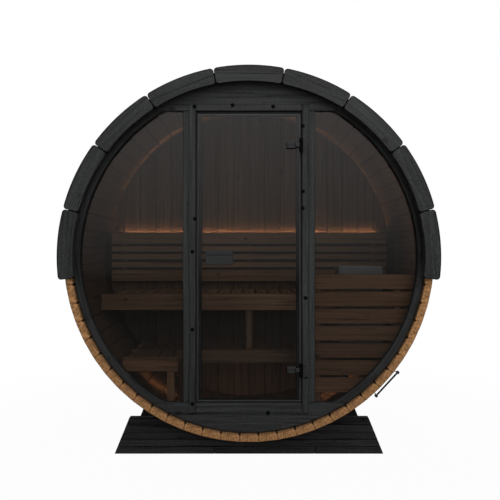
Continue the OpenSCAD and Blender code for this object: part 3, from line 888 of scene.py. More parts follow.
class SaunaSizes(bpy.types.PropertyGroup):
    """Sizes of the detail that the finished pieces add to the solids."""

    edge: length_property("Edge rounding", "Rounding on the edges of planed boards", 0.0025, 0.0005, 0.006)
    arch_corner: length_property("Arch corner", "Radius of an arch segment's corners", 0.018, 0.002, 0.03)
    arch_drop: length_property("Arch drop", "Reach of the arches' ends below their solids", 0.011, 0.0, 0.02)
    arch_lap: length_property(
        "Arch lap", "Reach of the arches inwards past their solids, half as far outwards", 0.003, 0.0, 0.006
    )
    arch_edge: length_property("Arch edge", "Rounding along the edges of an arch segment", 0.003, 0.001, 0.01)
    rim_cut: length_property("Rim cut", "Reach of the panes past their solids, at the rims", 0.005, 0.0, 0.01)
    knuckle: length_property("Knuckle", "Radius of the hinges' knuckles", 0.0095, 0.005, 0.0098)
    slat_rise: length_property("Slat rise", "Rise of the backrest's lower slats into the gaps", 0.005, 0.0, 0.01)
    top_slat: length_property("Top slat", "Rise of the top slat of the backrest", 0.0028, 0.0, 0.008)
    cradle_layers: count_property("Cradle layers", "Number of boards glued up to make a cradle", 5, 3, 8)
    cradle_spare: length_property(
        "Cradle spare", "What the front cradle has over its solid, the rear one under", 0.0025, 0.0, 0.01
    )
    wall_board: length_property("Wall board", "Width of a board of the back wall", 0.107, 0.08, 0.15)
    full_tabs: count_property("Full tabs", "Number of whole shingle tabs in a course", 6, 4, 10)
    tab_slot: length_property("Tab slot", "Open slot between two shingle tabs", 0.005, 0.002, 0.01)
    seal: length_property("Seal width", "Width of the sealing strip round a side pane", 0.003, 0.002, 0.012)
    screw: length_property("Screw head", "Radius of a plain screw head", 0.0085, 0.002, 0.01)


def colour_property(label, words, value):
    """A colour property with its name, description and default."""
    return FloatVectorProperty(
        name=label, description=words, default=value, size=3, subtype="COLOR", min=0.0, max=1.0
    )


class SaunaColours(bpy.types.PropertyGroup):
    """Colours of the finishes."""

    stain: colour_property("Black stain", "Stained wood of front and arches", (0.0182, 0.0188, 0.0194))
    stop: colour_property("Door stops", "Stained wood of the stops behind the door", (0.022, 0.022, 0.0225))
    cradle: colour_property("Cradle stain", "Stained wood of the cradles", (0.0128, 0.0128, 0.0131))
    stave: colour_property("Staves", "Outer faces of the staves", (0.26, 0.155, 0.085))
    # The inner faces of the staves take a darker colour inside the walls and a lighter one past them: painted
    # shade and painted light on one wood.
    stave_in: colour_property("Staves, inside", "Inner faces of the staves", (0.11, 0.067, 0.042))
    stave_lip: colour_property("Stave lips", "Inner faces of the staves past the walls", (0.2, 0.108, 0.05))
    stave_end: colour_property("Stave ends", "Sawn ends of the staves", (0.193, 0.1, 0.043))
    cabin: colour_property("Cabin wood", "Upper bench and backrest", (0.25, 0.15, 0.088))
    wall: colour_property("Wall boards", "Inner face of the back wall", (0.175, 0.11, 0.068))
    guard: colour_property("Guard", "Heater guard and front of the side bench", (0.247, 0.134, 0.075))
    # The low seat and low board colours are darker than the cabin wood as painted shade on the lower parts.
    low_seat: colour_property("Low seat", "Slats of the lower bench", (0.08, 0.048, 0.029))
    low_board: colour_property("Low boards", "Lower front, side seat and post", (0.135, 0.08, 0.048))
    glass: colour_property("Glass", "Tint of the glass", (0.006, 0.0055, 0.005))
    glass_edge: colour_property("Glass edge", "Polished edges of the door", (0.065, 0.067, 0.067))
    clearness: FloatProperty(
        name="Clearness", description="Share of the light that passes each face of the glass",
        default=0.62, min=0.1, max=0.95, subtype="FACTOR",
    )
    hoop: colour_property("Hoops", "Strip steel of the hoops", (0.5, 0.5, 0.51))
    fitting: colour_property("Fittings", "Black coat of hinges, handles and legs", (0.016, 0.0165, 0.0172))
    rod: colour_property("Rods", "Black steel of the tension rods and nuts", (0.003, 0.003, 0.0032))
    heater: colour_property("Heater", "Sheet steel of the heater", (0.42, 0.42, 0.43))
    felt: colour_property("Roofing", "Mineral face of the shingles", (0.035, 0.035, 0.037))
    screw: colour_property("Screws", "Black screw heads and knuckles", (0.002, 0.002, 0.002))
    seal: colour_property("Seals", "Sealing strips round the panes", (0.006, 0.006, 0.006))
    glow: colour_property("Light", "Colour of the light strips", (1.0, 0.58, 0.3))
    wall_strength: strength_property("Wall light", "Strength of the strip behind the backrest", 54.0)
    bench_strength: strength_property("Bench light", "Strength of the strip under the lower bench", 20.0)


# Pieces


class SAUNA_OT_cradles(bpy.types.Operator):
    """Builds both cradles from glued layers, hollowed out to the barrel"""

    bl_idname = "sauna.cradles"
    bl_label = "Cradles"

    def execute(self, context):
        size = context.scene.sauna_sizes
        self.build("cradle_front", size.cradle_layers, size.cradle_spare)
        self.build("cradle_rear", size.cradle_layers, -size.cradle_spare)
        return {"FINISHED"}

    def build(self, node, layers, spare):
        low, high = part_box(node)
        top = [v.co for v in frame["nodes"][node].data.vertices if v.co.z > high.z - CLOSE]
        lean = high.x - max(c.x for c in top)
        seat = min(c.x for c in top if c.x > 0)
        radius = math.hypot(seat, AXIS_Z - high.z)

        def outer(z):
            return high.x + spare - lean * z / high.z

        def inner(z):
            drop = AXIS_Z - z
            return math.sqrt(radius ** 2 - drop ** 2) if drop < radius else 0.0

        def hollow(foot, head, steps):
            heights = [foot + (head - foot) * i / steps for i in range(steps + 1)]
            return [(inner(z), z) for z in heights]

        bm = bmesh.new()
        step = high.z / layers
        for k in range(layers):
            z0, z1 = k * step, (k + 1) * step
            if inner(z1) == 0.0:
                butts = BUTTS if k == 0 else ()
                cuts = [(-outer(z0), -outer(z1)), *butts, (outer(z0), outer(z1))]
                for i, (left, right) in enumerate(zip(cuts, cuts[1:])):
                    a = BUTT_GAP if i > 0 else 0.0
                    b = BUTT_GAP if i < len(butts) else 0.0
                    outline = [(left[0] + a, z0), (right[0] - b, z0), (right[1] - b, z1), (left[1] + a, z1)]
                    add_prism(bm, outline, low.y, high.y)
            elif inner(z0) == 0.0:
                right = hollow(AXIS_Z - radius, z1, 12)
                outline = [(-outer(z0), z0), (outer(z0), z0), (outer(z1), z1)]
                outline += right[::-1] + [(-x, z) for x, z in right[1:]] + [(-outer(z1), z1)]
                add_prism(bm, outline, low.y, high.y)
            else:
                outline = [(outer(z0), z0), (outer(z1), z1)] + hollow(z0, z1, 8)[::-1]
                for side in (-1, 1):
                    add_prism(bm, [(side * x, z) for x, z in outline], low.y, high.y)
        soften(bm, EDGES["cradle"], 1)
        lay_grain(bm, node, "x")
        put(node + "_layers", bm, ["cradle"], [node])


class SAUNA_OT_staves(bpy.types.Operator):
    """Builds the staves of the barrel in four groups"""

    bl_idname = "sauna.staves"
    bl_label = "Staves"

    def execute(self, context):
        counts = {node: len(solids(node)) for node in FIRST_STAVE}
        pitch = 2 * math.pi / sum(counts.values())
        inner, outer = INSIDE_R, STAVE_OUT
        notch, depth, joint, chamfer = 0.0045, 0.009, 0.00001, 0.002
        back_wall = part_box("back_wall")[1].y
        side = [(inner, notch), (inner + depth, joint), (outer - chamfer, joint), (outer, chamfer)]
        outline = [(r, r * math.tan(pitch / 2) - gap) for r, gap in side]
        outline += [(r, -z) for r, z in outline[::-1]]
        looks = ("stave", "stave_in", "stave_lip", "stave_end", "cradle")
        for seed, (node, count) in enumerate(counts.items()):
            bm = bmesh.new()
            add_prism(bm, outline, FRONT_Y, WALL_Y, back_wall, REAR_Y)
            soften(bm, EDGES["stave"], 1)
            rim = bm.faces.layers.float["rim"]
            # Faces in the notches mark the dark joints between staves; the outer rounded edges get a weaker mark
            # as painted shade.
            for face in bm.faces:
                reach = face.calc_center_median().x
                if inner + CLOSE < reach < inner + depth - CLOSE and abs(face.normal.y) < 0.5:
                    face[rim] = 1.0
                elif face[rim] and inner + depth < reach < outer - 2 * chamfer:
                    face[rim] = 0.3
            lay_grain(bm, node, "y")
            # The cover puts the black cradle stain on the stave ends behind the arches as painted shade.
            values = {
                "Count": count, "Pitch": pitch, "First": math.radians(FIRST_STAVE[node]),
                "Axis height": AXIS_Z, "Seed": 3 + seed, **dict(zip(RING_MATERIALS, map(finish, looks))),
                "Cover depth": min(-WALL_Y, back_wall), "Cover height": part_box("front_arch")[0].z + 0.02,
            }
            grow(node + "_boards", bm, "ring", values, [node])
        return {"FINISHED"}


class SAUNA_OT_hoops(bpy.types.Operator):
    """Builds the hoops with their lugs and the threaded tension rods"""

    bl_idname = "sauna.hoops"
    bl_label = "Hoops and rods"

    def execute(self, context):
        for side in ("front", "rear"):
            self.hoop(side + "_hoop", side + "_tension_rod")
        return {"FINISHED"}

    def hoop(self, hoop, rod):
        """The strap, open where the rod draws its ends together, with a lug on each end."""
        boxes = sorted(solids(hoop), key=lambda box: -(box[1] - box[0]).length)
        low, high = boxes[0]
        lugs = [(lug_low + lug_high) / 2 for lug_low, lug_high in boxes[1:]]
        centre = middle(rod)
        angle = math.atan2(centre.z - AXIS_Z, centre.x)
        along = Vector((-math.sin(angle), 0, math.cos(angle)))
        turn = max(abs(math.atan2(lug.z - AXIS_Z, lug.x) - angle) for lug in lugs)
        radius, thick, steps = (high.x - low.x) / 2, 0.0015, 300
        section = ((radius - thick, low.y), (radius, low.y), (radius, high.y), (radius - thick, high.y))
        bm = bmesh.new()
        rings = []
        for i in range(steps + 1):
            at = angle + turn + (2 * math.pi - 2 * turn) * i / steps
            places = [(polar(r, at), y) for r, y in section]
            rings.append([bm.verts.new((x, y, z)) for (x, z), y in places])
        loft(bm, rings)
        for lug in lugs:
            way = 1 if (lug - centre).dot(along) > 0 else -1
            self.lug(bm, lug, high.y - low.y, radius, way)
        put(hoop + "_strap", bm, ["hoop"], [hoop], smooth=True)
        self.rod(rod, centre, along, lugs)

    def lug(self, bm, place, width, radius, way):
        """A bent plate with a rounded top, and a foot that is riveted to the strap behind it."""
        arm = Vector((place.x, 0, place.z - AXIS_Z)).normalized()
        back = Vector((-arm.z, 0, arm.x)) * way
        level = Vector((0, 1, 0))
        play, thick, sole_thick, reach, half = 0.0003, 0.002, 0.003, 0.03, width / 2
        foot = Vector((0, place.y, AXIS_Z)) + arm * (radius + play)
        rise = 2 * (place - foot).dot(arm)
        turns = [math.pi * i / 12 for i in range(13)]
        plate = [(-half, 0.0), (half, 0.0)]
        plate += [(half * math.cos(turn), rise - half + half * math.sin(turn)) for turn in turns]
        self.slab(bm, foot - back * thick, plate, level, arm, back * 2 * thick)
        sole = [(-half, 0.0), (half, 0.0), (half, reach), (-half, reach)]
        self.slab(bm, foot + back * thick, sole, level, back, arm * sole_thick)
        rivet = [(0.0042, 0.0), (0.0042, 0.0008), (0.003, 0.0019), (0.0012, 0.0024)]
        for k in (-1, 1):
            base = foot + back * reach * 0.62 + arm * 0.0028 + level * k * width * 0.27
            add_turned(bm, rivet, base, arm, 14)

    def slab(self, bm, origin, outline, first, second, thickness):
        """A plate on an outline laid out along two directions from an origin."""
        near = [bm.verts.new(origin + first * a + second * b) for a, b in outline]
        loft(bm, [near, [bm.verts.new(vert.co + thickness) for vert in near]])

    def rod(self, node, centre, along, lugs):
        """A rod with a thread cut on both ends, and a nut and a washer behind each lug."""
        half = max((v.co - centre).dot(along) for v in frame["nodes"][node].data.vertices)
        radius, pitch, depth, threaded = 0.0053, 0.0015, 0.0006, 0.055
        profile = [(radius * 0.6, -half)]
        for k in range(int(threaded / pitch)):
            crest = 0.001 + (k + 0.5) * pitch - half
            profile += [(radius - depth, crest - pitch / 2), (radius, crest)]
        profile.append((radius - depth / 2, threaded + 0.002 - half))
        profile += [(r, -height) for r, height in profile[::-1]]
        bm = bmesh.new()
        add_turned(bm, profile, centre, along, 16)
        put(node + "_thread", bm, ["rod"], [node], smooth=True)
        bm = bmesh.new()
        washer = [(0.0113, 0.0), (0.0118, 0.0003), (0.0118, 0.0013), (0.0113, 0.0016)]
        high, wide, bevel, lug_half, washer_high = 0.008, 0.0098, 0.0009, 0.0023, 0.0017
        nut = [(wide * 0.84, 0.0), (wide, bevel), (wide, high - bevel), (wide * 0.84, high)]
        for lug in lugs:
            at = (lug - centre).dot(along)
            way = along if at > 0 else -along
            seat = centre + way * (abs(at) + lug_half)
            add_turned(bm, washer, seat, way, 24)
            add_turned(bm, nut, seat + way * washer_high, way, 6)
        put(node + "_nuts", bm, ["rod"], [], smooth=True)


class SAUNA_OT_roofing(bpy.types.Operator):
    """Lays felt shingles over the staves, with caps along the ridge"""

    bl_idname = "sauna.roofing"
    bl_label = "Roofing"

    def execute(self, context):
        size = context.scene.sauna_sizes
        low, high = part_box("roofing")
        courses = len(solids("roofing"))
        first = math.asin((low.z - AXIS_Z) / (high.x - low.x) * 2)
        pitch = (math.pi - 2 * first) / courses
        reach = min(math.hypot(v.co.x, v.co.z - AXIS_Z) for v in frame["nodes"]["roofing"].data.vertices)
        inner = reach * math.cos(pitch / 2)
        half = inner * math.tan(pitch / 2)
        width = (high.y - low.y) / (size.full_tabs + 1)
        bm = bmesh.new()
        self.tab(bm, inner, half, (width - size.tab_slot) / 2)
        values = {
            "Courses": courses, "Full tabs": size.full_tabs, "Tab width": width, "Pitch": pitch,
            "First": first, "Front": low.y, "Axis height": AXIS_Z, "Seed": 11, "Material": finish("felt"),
        }
        grow("roofing_shingles", bm, "shingles", values, ["roofing"])
        bm = bmesh.new()
        bed = inner - 0.0004
        add_prism(bm, [(bed, -half), (inner, -half), (inner, half), (bed, half)], low.y, high.y)
        values = {
            "Count": courses, "Pitch": pitch, "First": first + pitch / 2, "Axis height": AXIS_Z, "Seed": 7,
            **dict.fromkeys(RING_MATERIALS, finish("felt")), "Cover depth": REAR_Y, "Cover height": high.z,
        }
        grow("roofing_underlay", bm, "ring", values, [])
        bm = bmesh.new()
        step, reach, lift = 0.14, 0.16, 0.0085
        self.cap(bm, inner + lift, low.y, reach)
        spare = high.y - low.y - reach
        gaps = int(spare / step)
        values = {"Count": gaps + 1, "Step": (0.0, spare / gaps, 0.0), "Seed": 5, "Material": finish("felt")}
        grow("ridge_caps", bm, "row", values, [])
        return {"FINISHED"}

    def tab(self, bm, inner, down, half):
        """One tab at angle 0, lying up the slope along +Z, thicker and lifted at its lower end."""
        up, nick = down + 0.012, 0.006
        outline = [
            (-half, up), (half, up), (half, nick - down), (half - nick, -down), (nick - half, -down),
            (-half, nick - down),
        ]

        def leaf(head, foot):
            shares = [(up - t) / (up + down) for _, t in outline]
            lifts = [inner + head + (foot - head) * s for s in shares]
            return [bm.verts.new((lift, y, t)) for lift, (y, t) in zip(lifts, outline)]

        loft(bm, [leaf(0.0022, 0.0075), leaf(0.0002, 0.0035)])
        soften(bm, EDGES["felt"], 1)

    def cap(self, bm, radius, front, reach):
        """One cap bent over the ridge, lifted at its front end."""
        spread, thick = math.radians(7), 0.003
        turns = [math.pi / 2 - spread + 2 * spread * i / 10 for i in range(11)]
        rows = []
        for y, lift in ((front, 0.003), (front + reach, 0.0)):
            points = [polar(radius + lift, t) for t in turns]
            points += [polar(radius + lift + thick, t) for t in turns[::-1]]
            rows.append([bm.verts.new((x, y, z)) for x, z in points])
        loft(bm, rows)
        soften(bm, EDGES["felt"], 1)


class SAUNA_OT_arches(bpy.types.Operator):
    """Builds both roof arches from sawn segments with rounded corners"""

    bl_idname = "sauna.arches"
    bl_label = "Arches"

    def execute(self, context):
        size = context.scene.sauna_sizes
        for node in ("front_arch", "rear_arch"):
            low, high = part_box(node)
            count = len(solids(node))
            points = [v.co for v in frame["nodes"][node].data.vertices]
            reach = [math.hypot(c.x, c.z - AXIS_Z) for c in points]
            outer, inner = max(reach) + size.arch_lap / 2, min(reach) - size.arch_lap
            mean = (outer + inner) / 2
            first = min(math.atan2(c.z - AXIS_Z, c.x) for c in points if c.x > 0) - size.arch_drop / mean
            turn = (math.pi - 2 * first) / count
            joint = 0.0022 / outer
            shape = rounded((turn - joint) * mean, outer - inner, size.arch_corner, 12)
            bm = bmesh.new()
            for i in range(count):
                centre = first + (i + 0.5) * turn
                add_prism(bm, [polar(mean + t, centre + s / mean) for s, t in shape], low.y, high.y)
            soften(bm, size.arch_edge, 3)
            lay_grain(bm, node, "curve")
            put(node + "_segments", bm, ["arch"], [node])
        return {"FINISHED"}


class SAUNA_OT_front_wall(bpy.types.Operator):
    """Builds the boards of the front wall, the side panes and their seals"""

    bl_idname = "sauna.front_wall"
    bl_label = "Front wall"

    def execute(self, context):
        size = context.scene.sauna_sizes
        for node in ("rim_left", "rim_right"):
            dress(node, "rim", EDGES["rim"], "curve", shape=self.opened)
        dress("header_board", "header", size.edge, "x")
        dress("threshold_board", "stain", size.edge, "x")
        for node in ("left_post", "right_post", "door_casing"):
            dress(node, "stain", size.edge)
        dress("door_stops", "stop", size.edge)
        for node in ("left_pane", "right_pane"):
            dress(node, "pane", EDGES["pane"], "z", shape=self.opened)
            self.seal(node, size.seal, size.rim_cut)
        return {"FINISHED"}

    def opened(self, bm):
        """Moves the curved edge between a rim and its pane outwards a little."""
        cut = bpy.context.scene.sauna_sizes.rim_cut
        low, high = corners(v.co for v in bm.verts)
        for vert in bm.verts:
            arm = Vector((vert.co.x, 0, vert.co.z - AXIS_Z))
            if abs(arm.length - RIM_IN) < CLOSE:
                vert.co += arm.normalized() * cut
                vert.co.z = min(max(vert.co.z, low.z), high.z)

    def seal(self, node, width, cut):
        """A sealing strip round the inner face of a pane."""
        low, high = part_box(node)
        side = 1 if low.x > 0 else -1
        near = min(abs(low.x), abs(high.x))
        radius = max(abs(low.x), abs(high.x)) + cut

        def outline(inset):
            foot, head = low.z + inset - AXIS_Z, high.z - inset - AXIS_Z
            reach = radius - inset
            a0, a1 = math.asin(foot / reach), math.asin(head / reach)
            points = [(near + inset, AXIS_Z + head), (near + inset, AXIS_Z + foot)]
            points += [polar(reach, a0 + (a1 - a0) * i / 48) for i in range(49)]
            return [(side * x, z) for x, z in points]

        bm = bmesh.new()
        outer, inner = outline(0.0), outline(width)
        near_y, far_y = high.y, high.y + 0.006
        section = ((outer, near_y), (inner, near_y), (inner, far_y), (outer, far_y))
        loft(bm, [[bm.verts.new((x, y, z)) for x, z in shape] for shape, y in section], loop=True)
        soften(bm, EDGES["seal"])
        put(node + "_seal", bm, ["seal"], [])


class SAUNA_OT_door(bpy.types.Operator):
    """Builds the glass door with its handles, its hinges and their fixed leaves"""

    bl_idname = "sauna.door"
    bl_label = "Door"

    def execute(self, context):
        pane = dress("glass_door", "glass", EDGES["door"], "z", "door")
        pane.data.materials.append(finish("glass_edge"))
        two_tone(pane, lambda face: abs(face.normal.y) < 0.99)
        pin = Vector(frame["joints"][0]["pos_m"])
        radius = context.scene.sauna_sizes.knuckle
        self.handle("outer_handle", -1)
        self.handle("inner_handle", 1)
        self.clamps(pin, radius)
        self.leaves(pin, radius)
        return {"FINISHED"}

    def handle(self, node, face):
        """Two bars on a back plate with a finger groove between them, and the catch beside the outer one."""
        parts = sorted(solids(node), key=lambda box: -(box[1] - box[0]).length)
        low, high = parts[0]
        split = low.z + (high.z - low.z) * 2 / 3
        gap, plate, inset, step = 0.0009, 0.005, 0.002, 0.0025
        glass_y, front_y = (high.y, low.y) if face < 0 else (low.y, high.y)
        back_y = glass_y + face * plate
        bm = bmesh.new()

        def slab(x0, x1, z0, z1, y_a, y_b):
            add_box(bm, (x0, min(y_a, y_b), z0), (x1, max(y_a, y_b), z1))

        slab(low.x, high.x, low.z, split - gap, back_y, front_y)
        slab(low.x, high.x, split + gap, high.z, back_y, front_y - face * step)
        slab(low.x + inset, high.x - inset, low.z + inset, high.z - inset, glass_y, back_y + face * inset)
        for box_low, box_high in parts[1:]:
            add_box(bm, box_low, box_high)
        soften(bm, EDGES["handle"], 3)
        put(node + "_bars", bm, ["black"], [node], "door")

    def knuckle(self, bm, pin, low, high, radius):
        """A turned barrel on the hinge's pin."""
        rise, edge = high - low, 0.0008
        profile = [(radius - edge, 0.0), (radius, edge), (radius, rise - edge), (radius - edge, rise)]
        add_turned(bm, profile, (pin.x, pin.y, low), (0, 0, 1), 32)

    def clamps(self, pin, radius):
        """Plates on both sides of the glass, with an arm and a knuckle on the outer one."""
        bm, turned = bmesh.new(), bmesh.new()
        arm, wide, thick = 0.012, 0.05, 0.014
        for low, high in solids("door_hinge_clamps"):
            if high.x > pin.x:
                foot, head = (low.z + high.z) / 2 - arm, (low.z + high.z) / 2 + arm
                right = low.x + wide
                add_box(bm, (low.x, high.y - thick, low.z), (right, high.y, high.z))
                add_box(bm, (right - 0.004, pin.y, foot), (pin.x, pin.y + radius, head))
                self.knuckle(turned, pin, foot, head, radius)
            else:
                add_box(bm, low, high)
        soften(bm, EDGES["clamp"], 3)
        node = "door_hinge_clamps"
        plates = put(node + "_plates", bm, ["black", "screw"], [node], "door")
        # Faces pointing down and to the left take black: painted shade on the clamps' undersides and left ends.
        two_tone(plates, lambda face: min(face.normal.x, face.normal.z) < -0.25)
        put("door_hinge_knuckles", turned, ["screw"], [], "door", smooth=True)

    def leaves(self, pin, radius):
        """A leaf on the casing at each hinge, with two knuckles and a domed pin."""
        bm, turned = bmesh.new(), bmesh.new()
        arm, thick, dome = 0.0123, 0.005, 0.0016
        for low, high in solids("frame_hinge_leaves"):
            level, half = (low.z + high.z) / 2, (high.z - low.z) / 2 + 0.008
            foot, head = level - half, level + half
            add_box(bm, (pin.x + radius, high.y - thick, foot), (high.x, high.y, head))
            for side in (-1, 1):
                near, far = sorted((level + side * arm, level + side * half))
                add_box(bm, (pin.x, pin.y + radius * 0.3, near), (pin.x + radius + 0.004, high.y, far))
                self.knuckle(turned, pin, near, far, radius)
            profile = [(0.0025, -dome), (0.004, 0.0), (0.004, 2 * half), (0.0025, 2 * half + dome)]
            add_turned(turned, profile, (pin.x, pin.y, foot), (0, 0, 1), 20)
        soften(bm, EDGES["leaf"])
        node = "frame_hinge_leaves"
        put(node + "_plates", bm, ["black"], [node])
        put("frame_hinge_knuckles", turned, ["screw"], [], smooth=True)


class SAUNA_OT_back_wall(bpy.types.Operator):
    """Builds the back wall from upright boards, bare inside and stained outside"""

    bl_idname = "sauna.back_wall"
    bl_label = "Back wall"

    def execute(self, context):
        low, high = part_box("back_wall")
        pitch = context.scene.sauna_sizes.wall_board
        joint, margin = 0.0004, 0.004
        count = int(2 * INSIDE_R / pitch) + 1
        start = -count * pitch / 2
        bm = bmesh.new()
        for i in range(count):
            x0 = max(start + i * pitch + joint, margin - INSIDE_R)
            x1 = min(start + (i + 1) * pitch - joint, INSIDE_R - margin)
            self.board(bm, x0, x1, low.y, high.y, i > 0, i < count - 1)
        bmesh.ops.recalc_face_normals(bm, faces=bm.faces)
        rim = bm.faces.layers.float.new("rim")
        for face in bm.faces:
            face[rim] = float(min(abs(face.normal.x), abs(face.normal.y)) > 0.5)
        lay_grain(bm, "back_wall", "z")
        wall = put("back_wall_boards", bm, ["wall", "stain"], ["back_wall"])
        two_tone(wall, lambda face: face.center.y > high.y - 0.006)
        return {"FINISHED"}

    def board(self, bm, x0, x1, y0, y1, groove, tongue):
        """One upright board, cut to the barrel's curve, with chamfers, a groove and a tongue."""
        chamfer, reach, play, steps = 0.0035, 0.006, 0.0004, 8
        near, far = y0 + (y1 - y0) * 0.4, y0 + (y1 - y0) * 0.6
        xs = [x0 + chamfer + (x1 - x0 - 2 * chamfer) * k / steps for k in range(steps + 1)]
        section = [(x, y0) for x in xs] + [(x1, y0 + chamfer)]
        if tongue:
            section += [(x1, near), (x1 + reach, near), (x1 + reach, far), (x1, far)]
        section += [(x1, y1 - chamfer)] + [(x, y1) for x in xs[::-1]] + [(x0, y1 - chamfer)]
        if groove:
            a, b = far + play, near - play
            section += [(x0, a), (x0 + reach, a), (x0 + reach, b), (x0, b)]
        section.append((x0, y0 + chamfer))
        rise = [math.sqrt(INSIDE_R ** 2 - min(abs(x), INSIDE_R) ** 2) for x, _ in section]
        loft(bm, [
            [bm.verts.new((x, y, AXIS_Z + way * r)) for (x, y), r in zip(section, rise)] for way in (-1, 1)
        ])


class SAUNA_OT_backrest(bpy.types.Operator):
    """Builds the backrest's slats and battens and the light strips"""

    bl_idname = "sauna.backrest"
    bl_label = "Backrest and lights"

    def execute(self, context):
        size = context.scene.sauna_sizes
        self.slats(size)
        dress("backrest_battens", "cabin", size.edge, "z")
        self.strip("backrest_light", "wall_glow", 1)
        self.strip("bench_light", "bench_glow", -1)
        return {"FINISHED"}

    def slats(self, size):
        """The slats with narrow gaps, of which the top one hides the light strip behind it."""
        bm = bmesh.new()
        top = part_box("backrest_slats")[1].z
        for low, high in solids("backrest_slats"):
            rise = size.top_slat if high.z > top - CLOSE else size.slat_rise
            add_box(bm, low, high + Vector((0, 0, rise)))
        soften(bm, size.edge * 1.6)
        lay_grain(bm, "backrest_slats", "x")
        put("backrest_slats_finish", bm, ["backrest"], ["backrest_slats"])

    def strip(self, node, look, up):
        """A metal channel with a diffuser in its mouth, which faces up or down."""
        low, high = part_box(node)
        wall, depth, play = 0.0012, 0.004, 0.0003
        mouth = high.z if up > 0 else low.z
        floor = mouth - up * depth
        near, far = low.y + wall, high.y - wall
        inset = [(near, mouth), (near, floor), (far, floor), (far, mouth)]
        section = [(low.y, low.z), (high.y, low.z), (high.y, high.z), (low.y, high.z)]
        if up > 0:
            section[3:3] = inset[::-1]
        else:
            section[1:1] = inset
        bm = bmesh.new()
        loft(bm, [[bm.verts.new((x, y, z)) for y, z in section] for x in (low.x, high.x)])
        put(node + "_channel", bm, ["black"], [node])
        name = node + "_diffuser"
        z0, z1 = sorted((floor + up * play, floor + up * 0.0018))
        bm = bmesh.new()
        add_box(bm, (low.x + 0.001, near + play, z0), (high.x - 0.001, far - play, z1))
        soften(bm, EDGES["diffuser"])
        lay_grain(bm, name, "x")
        put(name, bm, [look], [])


class SAUNA_OT_benches(bpy.types.Operator):
    """Builds the seats, front boards, bearers, legs and the post of the benches"""

    bl_idname = "sauna.benches"
    bl_label = "Benches"

    def execute(self, context):
        edge = context.scene.sauna_sizes.edge
        # The lower bench and the side seat take the darker low colours as painted shade.
        woods = (
            ("upper", "seat", "bench_front"),
            ("lower", "low_seat", "low_board"),
            ("side", "low_board", "guard"),
        )
        for seed, (bench, seat, front) in enumerate(woods):
            row_of(bench + "_bench_slats", seat, edge * 1.4, 20 + seed)
            dress(bench + "_bench_frame", front, edge)
        # The post takes the darker low board colour as painted shade.
        dress("upper_bench_post", "low_board", edge, "z")
        return {"FINISHED"}


class SAUNA_OT_heater(bpy.types.Operator):
    """Builds the heater's cabinet and legs and the guard round it"""

    bl_idname = "sauna.heater"
    bl_label = "Heater and guard"

    def execute(self, context):
        for node in ("guard_slats", "guard_posts"):
            dress(node, "guard", context.scene.sauna_sizes.edge, seed="guard_39559")
        dress("heater_legs", "black", EDGES["leg"])
        self.cabinet(*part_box("heater"))
        return {"FINISHED"}

    def cabinet(self, low, high):
        """A sheet-steel case: a core, four skins with open seams, bars in the top and louvres in front."""
        skin, seam, bars, margin, half = 0.004, 0.003, 9, 0.02, 0.003
        bm = bmesh.new()
        add_box(bm, low + Vector((skin, skin, 0)), high - Vector((skin, skin, 0.03)))
        for x0, x1, y0, y1 in (
            (low.x + seam, high.x - seam, low.y, low.y + skin),
            (low.x + seam, high.x - seam, high.y - skin, high.y),
            (low.x, low.x + skin, low.y + seam, high.y - seam),
            (high.x - skin, high.x, low.y + seam, high.y - seam),
        ):
            add_box(bm, (x0, y0, low.z + 0.01), (x1, y1, high.z))
        for i in range(bars):
            x = low.x + margin + (high.x - low.x - 2 * margin) * i / (bars - 1)
            add_box(bm, (x - half, low.y + skin, high.z - 0.026), (x + half, high.y - skin, high.z - 0.018))
        soften(bm, EDGES["case"])
        put("heater_case", bm, ["heater"], ["heater"])
        bm = bmesh.new()
        foot, inset = low.z + (high.z - low.z) * 0.12, 0.04
        add_box(bm, (low.x + inset, low.y - 0.003, foot), (high.x - inset, low.y + 0.001, foot + 0.006))
        soften(bm, EDGES["louvre"])
        values = {"Count": 6, "Step": (0.0, 0.0, 0.018), "Seed": 2, "Material": finish("heater")}
        grow("heater_louvres", bm, "row", values, [])


class SAUNA_OT_screws(bpy.types.Operator):
    """Sets screws in the casing, the header and the hinges"""

    bl_idname = "sauna.screws"
    bl_label = "Screws"

    def execute(self, context):
        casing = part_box("door_casing")
        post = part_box("right_post")[0].x
        across, inner = (post + casing[1].x) / 2, post + 0.0045
        spots = [
            (-across, 0.028), (-across, -0.398), (-inner, 0.207), (-across, -0.805), (-0.298, 0.821),
            (-0.09, 0.829), (0.132, 0.821), (inner, 0.715), (inner, 0.357), (inner, 0.265), (across, -0.657),
            (across, -0.225), (0.105, -0.853),
        ]
        heads = [(x, casing[0].y, AXIS_Z + rise) for x, rise in spots]
        self.screws("casing_screws", heads, context.scene.sauna_sizes.screw * 1.3)
        heads = [
            (high.x - 0.0075, high.y - 0.005, (low.z + high.z) / 2 + rise)
            for low, high in solids("frame_hinge_leaves") for rise in (-0.02, 0.02)
        ]
        self.screws("hinge_leaf_screws", heads, 0.0032)
        heads = [
            (low.x + inset, high.y - 0.014, (low.z + high.z) / 2)
            for low, high in solids("door_hinge_clamps") if high.x > post - 0.01 for inset in (0.012, 0.038)
        ]
        self.screws("hinge_clamp_screws", heads, 0.0035, "door")
        return {"FINISHED"}

    def screws(self, name, spots, radius, body="cabin"):
        """Screw heads that face forwards, just proud of some spots."""
        proud, height = 0.0002, 0.0012
        bm = bmesh.new()
        for x, y, z in spots:
            bm.verts.new((x, y - proud, z))
        values = {
            "Head radius": radius, "Head height": height, "Facing": (math.pi / 2, 0.0, 0.0), "Seed": 1,
            "Material": finish("screw"),
        }
        grow(name, bm, "screws", values, [], body)


